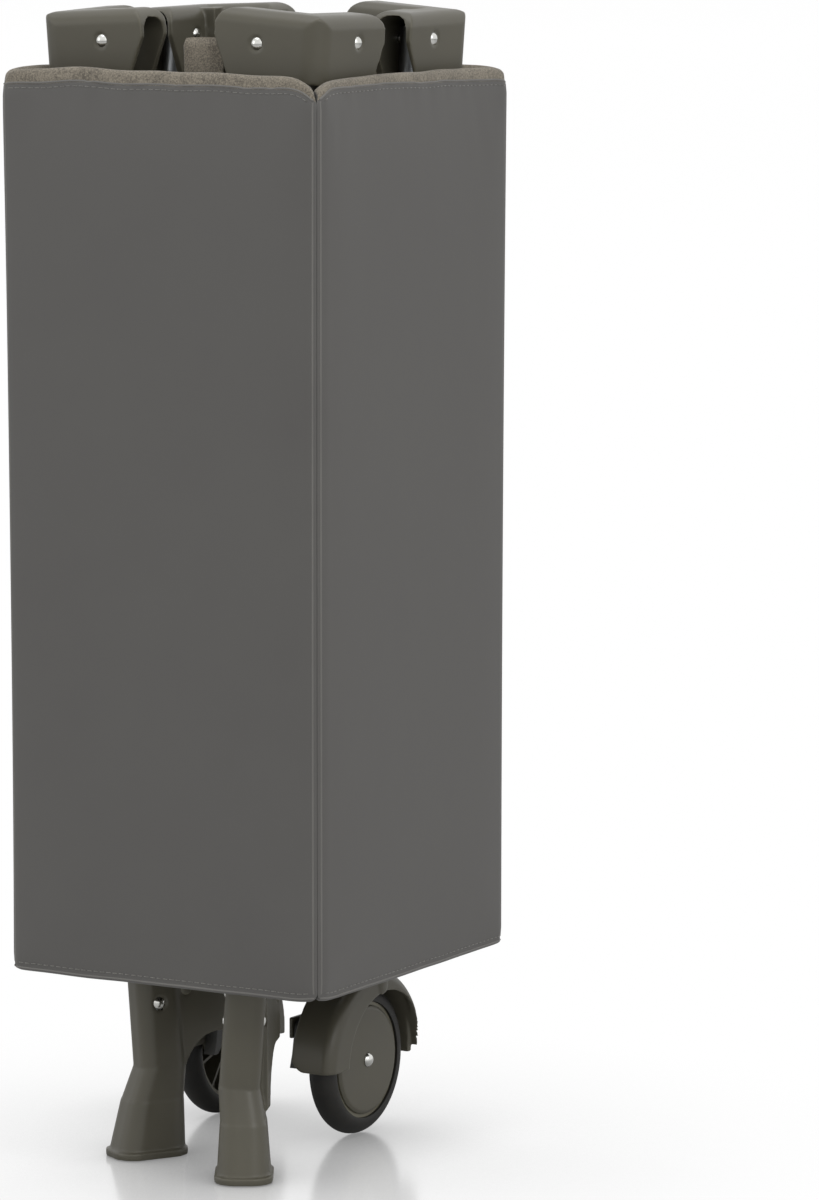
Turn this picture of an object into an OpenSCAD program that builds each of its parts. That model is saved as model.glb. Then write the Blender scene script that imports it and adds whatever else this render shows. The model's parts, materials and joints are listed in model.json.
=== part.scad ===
// Folding playpen, stored upright: the frame is folded and its padded mattress is wrapped round it.
// The origin is on the floor under the middle of the outline. +X runs along the front side, from the
// front left corner to the front right corner, +Y runs to the rear and +Z is up. The pen stands on two
// moulded feet at the front and on two wheels at the rear. Opened, its long sides lie along Y.

/* [Mattress wrap] */
// Outer width of the wrap on each of its four sides
wrap_w = 250; // [250:0.5:252]
// Height of the wrap's lower edge above the floor
wrap_z = 137; // [136:1:144]
// Width of the mattress, which stands upright in the wrap
panel_h = 612; // [590:1:613]
// Thickness of one padded panel
panel_t = 12; // [11:0.5:12]
// Rounding of a panel's outer upright edges
panel_edge_r = 3; // [2:0.5:3]

/* [Frame] */
// Distance from the middle of the folded frame to a corner cap's right or left outer face
cap_out_x = 111.5; // [111:0.5:112]
// Distance from the middle of the folded frame to a corner cap's front or rear outer face
cap_out_y = 99.5; // [98:0.5:100]
// Height of the corner caps' crowns
top_z = 790; // [780:1:800]
// Height of a corner cap
cap_h = 46; // [44:1:46]
// Outer width of a corner cap's arm
arm_w = 32; // [31:0.5:32]
// Length of a corner cap's arm, from the cap's outer face
arm_len = 83; // [82:1:84]
// Distance from a cap's outer face to the pin of its half rail
rail_pin_in = 50; // [48:0.5:52]
// Pin to pin length of a half rail on the long sides
rail_long = 440; // [430:1:446]
// Pin to pin length of a half rail on the short sides
rail_short = 246; // [242:1:250]
// Angle between a folded tube and the upright
fold_deg = 4; // [3.8:0.05:4.2]
// Height of the pins that join the base tubes to the feet
base_pin_z = 116; // [115:0.5:117]

/* [Tubes] */
// Outer diameter of a corner post
post_d = 25; // [24:0.5:25]
// Outer diameter of a half rail
rail_d = 20; // [18:0.5:20]
// Outer diameter of a base tube
base_d = 16; // [15:0.5:16]
// Wall of every tube
tube_wall = 1.5; // [1:0.1:2]
// Diameter of the hinge pins and rivets
pin_d = 6; // [5:0.5:6]

/* [Wheels] */
// Outer radius of a tyre
tyre_r = 53; // [52:0.5:53.5]
// Width of a tyre
tyre_w = 20; // [18:0.5:21]
// Outer radius of a wheel's hood
hood_r = 64; // [63:0.5:64]
// Middle of the rear right wheel, left to right and front to rear
wheel_rr = [30, 78]; // [-120:1:120]
// Middle of the rear left wheel, left to right and front to rear
wheel_rl = [-88, 88]; // [-120:1:120]

/* [Post feet] */
// Where each post's axis is at the foot's height: front left
foot_fl = [-57.7, -53.5]; // [-120:1:120]
// Front right
foot_fr = [41, -81.5]; // [-120:1:120]
// Rear right
foot_rr = [38, 84]; // [-120:1:120]
// Rear left
foot_rl = [-66, 86]; // [-120:1:120]

/* [Hidden] */

$fn = 48;
eps = 0.01;
fit = 0.1;            // diametral play of a pin or post in its bore
seam_turn = 77;       // turns the seam of a slanted bar's surface clear of the edges that cross it
seam_gap = 0.5;       // play between two panels at a seam of the wrap
molding = "#55554a";  // olive grey moulded plastic
steel = "#8b8d8f";
rivet_steel = "#d6d7d6";
vinyl = "#5b5a57";
flannel = "#8c8478";
rubber = "#2b2b29";

// Corner signs, left to right and front to rear
FL = [-1, -1];
FR = [1, -1];
RR = [1, 1];
RL = [-1, 1];

seam_in = 3.4;                                 // depth of a seam below the wrap's faces
seam = wrap_w / 2 - seam_in;
panel_in = wrap_w / 2 - panel_t;               // distance from the middle to a panel's inner face
cap_out = [cap_out_x, cap_out_y];
arm_mid = cap_out - [arm_w, arm_w] / 2;        // centre lines of the cap arms and of the rails
rail_pin = cap_out - [rail_pin_in, rail_pin_in];
rail_pin_z = top_z - 20;
post_top = cap_out - [22, 22];                 // post axis under the cap, from the middle
post_end_z = top_z - 8;
cap_wall = 4;
recess_d = 11;                                 // counterbore round a rivet's head
channel_w = arm_w - 2 * cap_wall;
socket_w = 37;                                 // the cap is solid for this width at its corner
lock_wall = 3;
lock_end = 11;                                 // a lock's length beyond its pins
lock_w = rail_d + 1.2 + 2 * lock_wall;
hub_mid = [-13, 17];
hub_pin = [16, 20];
base_len = norm([rail_short, rail_long]);
base_dir = [rail_short, rail_long] / base_len;
foot_h = 150;
rear_reach = 13.75;                            // from the wrap's middle back to the middle of the outline
foot_at_z = 140;                               // height at which foot_fl and the others are given
foot_post_z = 92;                              // lower ends of the posts in the feet
housing_post_z = 118;                          // and in the wheel housings
lip_h = 5;
strap_w = 25;

// Distance between the lower pins of two half rails that hang from pins at +-pin_at
function side_pin_gap(pin_at, len) = 2 * (pin_at - len * sin(fold_deg));
function lock_z(len) = rail_pin_z - len * cos(fold_deg);
// Horizontal direction in which a corner's base tube swings out
function out_dir(c) = [c.x * base_dir.x, c.y * base_dir.y];
function hub_pin_at(c) = [hub_mid.x + c.x * hub_pin.x, hub_mid.y + c.y * hub_pin.y];
function base_pin_at(c) = hub_pin_at(c) + base_len * sin(fold_deg) * out_dir(c);
hub_z = base_pin_z + base_len * cos(fold_deg);

// A cylinder between two points
module rod(a, b, d) {
    translate(a) along_axis(b - a) cylinder(d = d, h = norm(b - a));
}

// Turns a shape's z axis along a direction
module along_axis(v) {
    rotate([0, acos(v.z / norm(v)), atan2(v.y, v.x)])
        rotate([0, 0, seam_turn]) children();
}

// A rectangle with rounded corners, centred
module rounded_rect(w, d, r) {
    square([w - 2 * r, d], center = true);
    square([w, d - 2 * r], center = true);
    for (x = [-1, 1], y = [-1, 1])
        translate([x * (w / 2 - r), y * (d / 2 - r)]) circle(r);
}

// Turns a shape drawn along +X, in the XZ plane, towards a horizontal direction
module facing(dir) {
    rotate([0, 0, atan2(dir.y, dir.x)]) children();
}

// A low domed rivet head with its flat side at z = 0
module rivet_head(d, h) {
    ball = (d * d / 4 + h * h) / (2 * h);
    intersection() {
        translate([0, 0, h - ball]) sphere(ball);
        cylinder(d = d, h = h);
    }
}

// ---- Corner posts ----

function post_point(foot, c, z) =
    let (t = (z - foot_at_z) / (rail_pin_z - foot_at_z))
    [foot.x + t * (c.x * post_top.x - foot.x), foot.y + t * (c.y * post_top.y - foot.y), z];

module post_bar(foot, c, z0, z1, d) {
    rod(post_point(foot, c, z0), post_point(foot, c, z1), d);
}

module post(foot, c, z0, rivets_z) {
    color(steel) difference() {
        post_bar(foot, c, z0, post_end_z, post_d);
        post_bar(foot, c, z0 - 2, post_end_z + 2, post_d - 2 * tube_wall);
        for (z = rivets_z)
            across_column(foot, c, z) rotate([90, 0, 0])
                cylinder(d = pin_d + fit, h = post_d + 2, center = true);
    }
}

// ---- Corner caps ----

// Section of a cap arm: an inverted channel with a crowned top
module arm_section() {
    crown_r = 10;
    translate([0, (cap_h - crown_r) / 2]) square([arm_w, cap_h - crown_r], center = true);
    translate([0, cap_h - crown_r / 2]) square([arm_w - 2 * crown_r, crown_r], center = true);
    for (x = [-1, 1])
        translate([x * (arm_w / 2 - crown_r), cap_h - crown_r]) circle(crown_r);
}

module arm_cavity() {
    inner_r = 10;
    translate([0, (cap_h - cap_wall - inner_r) / 2 - 1])
        square([channel_w, cap_h - cap_wall - inner_r + 2], center = true);
    translate([0, cap_h - cap_wall - inner_r])
        square([channel_w - 2 * inner_r, 2 * inner_r], center = true);
    for (x = [-1, 1])
        translate([x * (channel_w / 2 - inner_r), cap_h - cap_wall - inner_r]) circle(inner_r);
}

// Side outline of an arm: both ends are rounded at the top, and the free end slants back below
module arm_side(out) {
    end_r = 12;
    slant = 12;
    slant_h = 27;
    crown_end = 10.4;
    lip = out - arm_len;
    polygon([
        [lip, cap_h - end_r],
        [lip, slant_h],
        [lip + slant, 0],
        [out, 0],
        [out, cap_h - crown_end],
        [out - crown_end, cap_h],
        [lip + end_r, cap_h]
    ]);
    translate([lip + end_r, cap_h - end_r]) circle(end_r);
    translate([out - crown_end, cap_h - crown_end]) circle(crown_end);
}

// One arm lying along +X: reach is the cap's outer face on X, side its outer face on Y
module arm_blank(reach, side) {
    intersection() {
        translate([reach - arm_len, side - arm_w / 2, 0])
            rotate([90, 0, 90])
                linear_extrude(arm_len) arm_section();
        translate([0, side, 0]) rotate([90, 0, 0]) linear_extrude(arm_w) arm_side(reach);
    }
}

module arm_channel(reach, side) {
    translate([reach - arm_len - 1, side - arm_w / 2, 0])
        rotate([90, 0, 90])
            linear_extrude(arm_len - socket_w + 1) arm_cavity();
}

// Bore and two counterbores of an arm's rivet
module arm_rivet_bore(reach, side) {
    translate([reach - rail_pin_in, side + 1, cap_h - (top_z - rail_pin_z)]) rotate([90, 0, 0]) {
        cylinder(d = pin_d + fit, h = arm_w + 2);
        for (depth = [-4, arm_w]) translate([0, 0, depth]) cylinder(d = recess_d, h = 6);
    }
}

// Vertical outline of the cap, which rounds its outer corner
module cap_plan() {
    corner_r = 15;
    lip = cap_out - [arm_len, arm_len];
    translate(lip) square([arm_len - corner_r, arm_len]);
    translate(lip) square([arm_len, arm_len - corner_r]);
    translate(cap_out - [corner_r, corner_r]) circle(corner_r);
}

// Outer shape of the cap of the corner with positive x and y
module cap_blank() {
    block = socket_w + 3;
    intersection() {
        union() {
            arm_blank(cap_out.x, cap_out.y);
            mirror([1, -1, 0]) arm_blank(cap_out.y, cap_out.x);
            translate([cap_out.x - block, cap_out.y - block, 0]) cube([block - 7, block - 7, cap_h - 2]);
        }
        linear_extrude(cap_h + 1) cap_plan();
    }
}

// Leans a shape over about its corner's post at height z, by as much as the post leans
module leaning(foot, c, z) {
    pivot = post_point(foot, c, z);
    along = post_point(foot, c, rail_pin_z) - post_point(foot, c, foot_at_z);
    turn = atan2(along.y, along.x);
    translate(pivot)
        rotate([0, 0, turn]) rotate([0, acos(along.z / norm(along)), 0]) rotate([0, 0, -turn])
            translate(-pivot) children();
}

// A cap leans with its post, but its channels and bores are level, as the rails' hinges need
module cap(foot, c) {
    color(molding) difference() {
        leaning(foot, c, rail_pin_z) at_corner(c) translate([0, 0, top_z - cap_h]) cap_blank();
        at_corner(c) translate([0, 0, top_z - cap_h]) {
            arm_channel(cap_out.x, cap_out.y);
            mirror([1, -1, 0]) arm_channel(cap_out.y, cap_out.x);
            arm_rivet_bore(cap_out.x, cap_out.y);
            mirror([1, -1, 0]) arm_rivet_bore(cap_out.y, cap_out.x);
        }
        post_bar(foot, c, top_z - cap_h - 8, post_end_z + 0.3, post_d + fit);
    }
}

// Mirrors a shape made for the corner with positive x and y to corner c
module at_corner(c) {
    mirror([c.x < 0 ? 1 : 0, 0, 0]) mirror([0, c.y < 0 ? 1 : 0, 0]) children();
}

// ---- Rivets and fixed pins of a corner ----

// A rivet along +Y between two faces, with a domed head on each
module rivet_y(y0, y1, head_d, head_h) {
    into_head = head_h / 2;
    translate([0, y0 - into_head, 0]) rotate([-90, 0, 0]) cylinder(d = pin_d, h = y1 - y0 + 2 * into_head);
    translate([0, y1, 0]) rotate([-90, 0, 0]) rivet_head(head_d, head_h);
    translate([0, y0, 0]) rotate([90, 0, 0]) rivet_head(head_d, head_h);
}

module cap_rivets(c) {
    head_d = 9;
    head_h = 2;
    at_corner(c) {
        translate([rail_pin.x, 0, rail_pin_z])
            rivet_y(cap_out.y - arm_w + 1, cap_out.y - 1, head_d, head_h);
        mirror([1, -1, 0]) translate([rail_pin.y, 0, rail_pin_z])
            rivet_y(cap_out.x - arm_w + 1, cap_out.x - 1, head_d, head_h);
    }
}

ear_gap = base_d + 0.8;
ear_t = 4;

// The pin that carries a base tube between the ears of its foot
module base_pin_rivet(c) {
    head_d = 9;
    translate([base_pin_at(c).x, base_pin_at(c).y, base_pin_z])
        facing(out_dir(c)) rivet_y(-ear_gap / 2 - ear_t, ear_gap / 2 + ear_t, head_d, 2);
}

module corner_rivets(c) {
    color(rivet_steel) {
        cap_rivets(c);
        base_pin_rivet(c);
    }
}

// ---- Moulded front feet ----
// A foot is drawn round its column at x = 0, y = 0, with the toe towards -X. Its web reaches along +X
// to carry the base tube, and an arch is cut out below the web.

column_t = 28;
column_tail = 20;     // length of the column from the post's axis towards the web
column_w = column_t / 2 + column_tail;
waist_z = 62;
sole_l = 52;
sole_w = 37;
sole_mid = column_tail + 2 - sole_l / 2;
pad_t = 2.3;
foot_rivet_z = [108, 127];
rivet_half = column_t / 2 - 1;   // from the post's axis to a rivet's head

// Direction of a foot's web, from its column to the pin of its base tube
function web_turn(foot_at, c) =
    let (reach = base_pin_at(c) - [foot_at.x, foot_at.y])
    atan2(reach.y, reach.x);

module foot_section(l, w, r, mid) {
    translate([mid, 0]) rounded_rect(l, w, r, $fn = 32);
}

// The front right foot is turned from its web by this much
function toe_turn(c) = c.x > 0 ? 7 : 0;

// How far the post's axis is from foot_at at height z
function lean_at(foot_at, c, z) = post_point(foot_at, c, z) - [foot_at.x, foot_at.y, z];

module at_foot(foot_at, c) {
    translate([foot_at.x, foot_at.y, 0]) rotate([0, 0, web_turn(foot_at, c) + toe_turn(c)]) children();
}

// The sole is set off from the foot's place by a share of the post's lean
module at_sole(foot_at, c) {
    sole_share = 0.25;
    translate(sole_share * lean_at(foot_at, c, 0)) at_foot(foot_at, c) children();
}

// Slab of the flare between the column and the sole, wider all round by grow
module flare_slab(foot_at, c, mid, grow = 0) {
    flare_z = 38;
    flare_share = 0.4;
    translate(flare_share * lean_at(foot_at, c, flare_z) + [0, 0, flare_z]) at_foot(foot_at, c)
        linear_extrude(1) foot_section(column_w + 7 + 2 * grow, column_t + 3 + 2 * grow, 11 + grow, mid - 3);
}

// The column leans with its post; below the waist it flares out to the level sole
module foot_column(foot_at, c) {
    mid = column_tail - column_w / 2;
    step = 0.4;   // each lower piece is wider than the one that stands in it by this much all round
    leaning(foot_at, c, foot_at_z) at_foot(foot_at, c) translate([0, 0, waist_z - 1])
        linear_extrude(foot_h - waist_z + 1) translate([mid, 0]) rounded_rect(column_w, column_t, 10);
    hull() {
        leaning(foot_at, c, foot_at_z) at_foot(foot_at, c) translate([0, 0, waist_z - 0.5])
            linear_extrude(0.5) foot_section(column_w + 2 * step, column_t + 2 * step, 10 + step, mid);
        flare_slab(foot_at, c, mid);
    }
    hull() {
        flare_slab(foot_at, c, mid, step);
        at_sole(foot_at, c) linear_extrude(1) foot_section(sole_l, sole_w, 14, sole_mid);
    }
    at_sole(foot_at, c) linear_extrude(lip_h) foot_section(sole_l + 3, sole_w + 3, 15, sole_mid);
}

module foot_web(len) {
    web_t = column_t - 2;
    web_from = 6;
    arch_x = 28;
    arch_top = 84;
    arch_foot = 45;
    translate([0, web_t / 2, 0]) rotate([90, 0, 0]) linear_extrude(web_t) polygon(concat(
        [[web_from, foot_h], [web_from, arch_foot]],
        [for (a = [0:10:90])
            [column_tail + arch_x * (1 - cos(a)), arch_foot + (arch_top - arch_foot) * sin(a)]],
        [[len, arch_top], [len, foot_h]]
    ));
}

// Two ears that hold the pin of a base tube, with the root that joins them to a housing
module base_ears(c, reach) {
    ear_h = 26;
    root = 9;
    translate([base_pin_at(c).x, base_pin_at(c).y, base_pin_z]) facing(out_dir(c)) {
        for (s = [-1, 1])
            translate([0, s * (ear_gap + ear_t) / 2, 0]) rotate([90, 0, 0])
                linear_extrude(ear_t, center = true) {
                    circle(d = ear_h);
                    translate([0, -ear_h / 2]) square([reach, ear_h]);
                }
        translate([root, -ear_gap / 2 - ear_t, -ear_h / 2]) cube([reach - root, ear_gap + 2 * ear_t, ear_h]);
    }
}

// Room for a base tube, from beyond its pin inwards along its swing
module base_tube_slot(c, len) {
    beyond_pin = 9;
    translate([base_pin_at(c).x, base_pin_at(c).y, base_pin_z])
        facing(out_dir(c)) {
            translate([-len, -ear_gap / 2, -13]) cube([len + beyond_pin, ear_gap, 80]);
            rotate([90, 0, 0]) cylinder(d = pin_d + fit, h = ear_gap + 2 * ear_t + 60, center = true);
            for (s = [-1, 1]) translate([0, s * (ear_gap / 2 + ear_t + 8), 0])
                rotate([90, 0, 0]) cylinder(d = recess_d, h = 16, center = true);
        }
}

// Places a shape at a rivet that holds a post in its foot
module across_column(foot_at, c, z) {
    translate(post_point(foot_at, c, z)) rotate([0, 0, web_turn(foot_at, c) + toe_turn(c)]) children();
}

module foot(foot_at, c, web_len) {
    color(molding) difference() {
        union() {
            foot_column(foot_at, c);
            translate([foot_at.x, foot_at.y, 0]) rotate([0, 0, web_turn(foot_at, c)]) foot_web(web_len);
        }
        base_tube_slot(c, 80);
        post_bar(foot_at, c, foot_post_z - 2, foot_h + 5, post_d + fit);
        for (z = foot_rivet_z)
            across_column(foot_at, c, z) rotate([90, 0, 0]) {
                cylinder(d = pin_d + fit, h = 60, center = true);
                for (s = [-1, 1]) translate([0, 0, s * (rivet_half + 8)])
                    cylinder(d = recess_d, h = 16, center = true);
            }
        at_sole(foot_at, c) translate([0, 0, -eps])
            linear_extrude(pad_t + 0.2) foot_section(sole_l - 9, sole_w - 11, 9, sole_mid);
    }
}

// Soft pad let into the sole
module foot_pad(foot_at, c) {
    color(rubber)
        at_sole(foot_at, c) linear_extrude(pad_t) foot_section(sole_l - 9.4, sole_w - 11.4, 8.8, sole_mid);
}

module foot_rivets(foot_at, c) {
    color(rivet_steel)
        for (z = foot_rivet_z)
            across_column(foot_at, c, z) rivet_y(-rivet_half, rivet_half, 9, 2);
}

// ---- Rear wheels ----
// A wheel and its housing are drawn round the wheel's middle at x = 0, y = 0, z = tyre_r, with the
// covered face towards +X. The left one is the mirror image of the right one.

hood_t = 3;
hood_in = -14;        // inner side of the housing
hood_outer = 19;      // outer edge of the hood
hood_tail_deg = -5;   // the hood's rear end, below the level of the axle

module at_wheel(centre, c) {
    translate([centre.x, centre.y, tyre_r]) mirror([c.x < 0 ? 1 : 0, 0, 0]) children();
}

// Section of the hood, from the inner side to its rounded outer shoulder; x is the radius
module hood_section(r, inner, outer, lip_r, shoulder) {
    translate([lip_r, inner]) square([r - lip_r, outer - inner - shoulder]);
    translate([lip_r, outer - shoulder - eps]) square([r - lip_r - shoulder, shoulder + eps]);
    translate([r - shoulder, outer - shoulder]) circle(shoulder);
}

// A ring about the axle over the hood's sweep, with its section's y along the axle
module about_axle() {
    rotate([0, 90, 0]) rotate([0, 0, 90])
        rotate([0, 0, hood_tail_deg]) rotate_extrude(angle = 180 - hood_tail_deg) children();
}

// What is cut off the inner lower corner of the hood's front end
module hood_front_corner() {
    corner_r = 14;
    depth = 24;
    over = 0.7;   // the rounding's circle stands out beyond both faces by this much, so it crosses them
    translate([0, -hood_r - 2, 0]) difference() {
        translate([hood_in - 2, 0, -8]) cube([corner_r + 2 - over, depth, corner_r + 8 - over]);
        translate([hood_in + corner_r - over, -1, corner_r - over])
            rotate([-90, 0, 0]) cylinder(r = corner_r, h = depth + 2);
    }
}

module wheel_hood() {
    // the side opening is a round hole set off towards the rear, so the flank narrows to the rear
    opening_r = 51;
    opening_back = 12.5;
    shoulder = 8.5;
    difference() {
        about_axle() difference() {
            hood_section(hood_r, hood_in, hood_outer, 1, shoulder);
            hood_section(hood_r - hood_t, hood_in + hood_t, hood_outer - hood_t, 0, shoulder - 2.5);
        }
        translate([hood_outer - 12, opening_back, -3]) rotate([0, 90, 0]) cylinder(r = opening_r, h = 20);
        hood_front_corner();
    }
}

axle_d = 8;

// Lower lobe of the housing's inner wall, round the axle
module housing_lobe() {
    lobe_r = 14;
    proud = 0.4;   // thicker than the hood's inner wall by this much on each side
    translate([hood_in - proud, 0, 0]) rotate([0, 90, 0]) cylinder(r = lobe_r, h = hood_t + 2 * proud);
    translate([hood_in, 0, 0]) rotate([0, 90, 0]) cylinder(d = axle_d + 8, h = hood_t + 1);
}

module wheel_housing(centre, foot_at, c, reach) {
    post_socket_w = 31;
    socket_low = 92;
    bore_low = 112;
    clear_r = hood_r - 1;
    color(molding) difference() {
        union() {
            at_wheel(centre, c) {
                wheel_hood();
                housing_lobe();
            }
            difference() {
                union() {
                    base_ears(c, reach);
                    intersection() {
                        post_bar(foot_at, c, socket_low - 2, foot_h, post_socket_w);
                        translate([-wrap_w, 0, socket_low]) cube([2 * wrap_w, wrap_w, foot_h - socket_low]);
                    }
                    housing_bridge(centre, foot_at, c);
                }
                at_wheel(centre, c)
                    translate([hood_in - 1, 0, 0]) rotate([0, 90, 0])
                        cylinder(r = clear_r, h = hood_outer - hood_in + 2);
            }
            at_wheel(centre, c) brake_ears();
        }
        base_tube_slot(c, 60);
        post_bar(foot_at, c, bore_low, foot_h + 5, post_d + fit);
        at_wheel(centre, c) {
            translate([hood_in - 20, 0, 0]) rotate([0, 90, 0]) cylinder(d = axle_d + fit, h = 30);
            translate([brake_at.x, brake_at.y, brake_at.z - tyre_r])
                rotate([0, 90, 0]) cylinder(d = brake_pin_d + fit, h = 40, center = true);
        }
    }
}

// Web between the hood's crown and the post's socket
module housing_bridge(centre, foot_at, c) {
    bridge_w = 26;
    bridge_h = 32;
    inward = 10;   // the bridge starts this far inside the wheel's middle plane
    sunk = 14;     // how far it reaches down into the hood and forward of the axle
    x0 = min(centre.x - c.x * inward, foot_at.x);
    x1 = max(centre.x + c.x * inward, foot_at.x);
    translate([x0, centre.y - sunk, tyre_r + hood_r - sunk]) cube([x1 - x0, bridge_w, bridge_h]);
}

module wheel_rim(centre, c) {
    rim_r = 41;
    rim_wall = 3;
    hub_r = 10;
    rib_count = 10;
    disc_x = 5;
    rim_half = 8;
    color(molding) at_wheel(centre, c) rotate([0, 90, 0]) difference() {
        union() {
            difference() {
                translate([0, 0, -rim_half]) cylinder(r = rim_r, h = 2 * rim_half);
                translate([0, 0, -rim_half - 1]) cylinder(r = rim_r - rim_wall, h = 2 * rim_half + 2);
            }
            translate([0, 0, disc_x]) cylinder(r = rim_r - 1, h = rim_half - disc_x);
            translate([0, 0, -rim_half - 1]) cylinder(r = hub_r, h = 2 * rim_half + 1);
            for (i = [0:rib_count - 1])
                rotate([0, 0, i * 360 / rib_count])
                    translate([hub_r - 1, -1, -rim_half + 2])
                        cube([rim_r - hub_r - 1, 2, disc_x + rim_half - 1]);
        }
        translate([0, 0, -20]) cylinder(d = axle_d + fit, h = 40);
    }
}

module tyre(centre, c) {
    bead_r = 41.2;
    side_r = tyre_w / 2;
    color(rubber) at_wheel(centre, c) rotate([0, 90, 0]) rotate_extrude($fn = 96) {
        translate([tyre_r - side_r, 0]) intersection() {
            circle(side_r);
            translate([bead_r - tyre_r + side_r, -side_r]) square([side_r * 2, 2 * side_r]);
        }
    }
}

// Flat cover disc on the outside of the wheel
module wheel_cover(centre, c) {
    cover_r = 44;
    cover_t = 2.4;
    color(molding) at_wheel(centre, c) translate([8.2, 0, 0]) rotate([0, 90, 0]) difference() {
        union() {
            cylinder(r = cover_r - 5.5, h = cover_t - 1);
            translate([0, 0, 1]) cylinder(r1 = cover_r - 5.5, r2 = cover_r - 8, h = cover_t - 1);
        }
        translate([0, 0, -1]) cylinder(d = axle_d + fit, h = cover_t + 2);
    }
}

brake_at = [-20, -36, 79];
brake_pin_d = 5;
brake_w = 9;

// Two ears on the housing's inner wall that hold the brake lever
module brake_ears() {
    ear = 3;
    for (x = [brake_at.x - brake_w / 2 - ear - 0.3, brake_at.x + brake_w / 2 + 0.3])
        translate([x, brake_at.y - 8, brake_at.z - tyre_r - 7]) cube([ear, 22, 15]);
    // the block that carries both ears, on the inner wall
    translate([brake_at.x - brake_w / 2 - ear - 0.3, brake_at.y + 10, brake_at.z - tyre_r - 7])
        cube([hood_in - brake_at.x + brake_w / 2 + ear + 0.3 + 2, 12, 15]);
}

// Lever that is pressed down to hold the wheel
module brake_lever(centre, c) {
    color(molding) at_wheel(centre, c)
        translate([brake_at.x, brake_at.y, brake_at.z - tyre_r]) rotate([90, 0, 90])
            linear_extrude(brake_w, center = true) difference() {
                union() {
                    circle(5.5);
                    polygon([[-5.5, 0], [5.5, 0], [3, -12], [-2, -22], [-7, -27], [-12, -27], [-9, -18]]);
                }
                circle(d = brake_pin_d + fit);
            }
}

module housing_rivets(centre, c) {
    head_d = 9;
    color(rivet_steel) at_wheel(centre, c) {
        translate([hood_in - 2, 0, 0]) rotate([0, 90, 0]) cylinder(d = axle_d, h = 13 - hood_in);
        translate([11 - eps, 0, 0]) rotate([0, 90, 0]) rivet_head(head_d + 1, 3);
        translate([hood_in - 2 + eps, 0, 0]) rotate([0, -90, 0]) rivet_head(head_d + 2, 2);
        translate([brake_at.x - brake_w / 2 - 4, brake_at.y, brake_at.z - tyre_r])
            rotate([0, 90, 0]) cylinder(d = brake_pin_d, h = brake_w + 8);
    }
}

// ---- Folding base ----

// A base tube has solid round ends, each with the bore of its pin
module base_tube(c) {
    foot_pin = [base_pin_at(c).x, base_pin_at(c).y, base_pin_z];
    hub_end = [hub_pin_at(c).x, hub_pin_at(c).y, hub_z];
    along = (hub_end - foot_pin) / base_len;
    plug = 26;
    color(steel) difference() {
        translate(foot_pin) along_axis(along) rotate_extrude() {
            square([base_d / 2, base_len]);
            for (z = [0, base_len]) intersection() {
                translate([0, z]) circle(d = base_d);
                translate([0, z - base_d]) square([base_d, 2 * base_d]);
            }
        }
        rod(foot_pin + plug * along, hub_end - plug * along, base_d - 2 * tube_wall);
        for (p = [foot_pin, hub_end])
            translate(p) facing(out_dir(c))
                rotate([90, 0, 0]) cylinder(d = pin_d + fit, h = base_d + 2, center = true);
    }
}

hub_r = 45;
hub_half = 13;
hub_slot = base_d + 0.8;

module hub_body() {
    color(molding) difference() {
        translate([hub_mid.x, hub_mid.y, hub_z - hub_half]) cylinder(r = hub_r, h = 2 * hub_half, $fn = 72);
        for (c = [FL, FR, RR, RL])
            translate([hub_pin_at(c).x, hub_pin_at(c).y, hub_z]) facing(out_dir(c)) {
                translate([-12, -hub_slot / 2, -hub_half - 1]) cube([80, hub_slot, 2 * hub_half - 2]);
                rotate([90, 0, 0]) cylinder(d = pin_d + fit, h = hub_slot + 12, center = true);
            }
    }
}

module hub_pins() {
    color(rivet_steel)
        for (c = [FL, FR, RR, RL])
            translate([hub_pin_at(c).x, hub_pin_at(c).y, hub_z]) facing(out_dir(c))
                rotate([90, 0, 0]) cylinder(d = pin_d, h = hub_slot + 10, center = true);
}

// Shallow dished cover on the hub, with two slots for the strap
module hub_cover() {
    cover_h = 4;
    color(molding) translate([hub_mid.x, hub_mid.y, hub_z + hub_half]) difference() {
        cylinder(r1 = hub_r - 1, r2 = hub_r - 4, h = cover_h, $fn = 72);
        for (y = [-20, 20])
            translate([0, y, cover_h / 2 - eps]) cube([strap_w + 2, 4, cover_h + 1], center = true);
    }
}

// Webbing loop that is pulled up to fold the base
module pull_strap() {
    loop_l = 36;
    color("#3f3f3b") translate([hub_mid.x, hub_mid.y, hub_z + hub_half + 4.3])
        translate([0, 0, 1.5]) rotate([0, 90, 0]) linear_extrude(strap_w, center = true)
            rounded_rect(3, loop_l, 1.2);
}

// ---- Top rails and their locks ----

// Half rail that hangs from the pin at x = pin_at, in the vertical plane y = plane
module half_rail(pin_at, plane, len) {
    pin_a = [pin_at, plane, rail_pin_z];
    along = [-sin(fold_deg), 0, -cos(fold_deg)];
    pin_b = pin_a + len * along;
    end_len = 8;
    plug = 24;
    color(steel) difference() {
        rod(pin_a - end_len * along, pin_b + end_len * along, rail_d);
        rod(pin_a + plug * along, pin_b - plug * along, rail_d - 2 * tube_wall);
        for (p = [pin_a, pin_b])
            translate(p) rotate([90, 0, 0]) cylinder(d = pin_d + fit, h = rail_d + 2, center = true);
    }
}

// A part of a short side is drawn along X at the rear right corner, a part of a long side is turned
module on_short_side(c) { at_corner(c) children(); }
module on_long_side(c) { at_corner(c) mirror([1, -1, 0]) children(); }

module short_rail(c) { on_short_side(c) half_rail(rail_pin.x, arm_mid.y, rail_short); }
module long_rail(c) { on_long_side(c) half_rail(rail_pin.y, arm_mid.x, rail_long); }

lock_floor = -17;     // underside of a lock, from its pins

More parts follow.
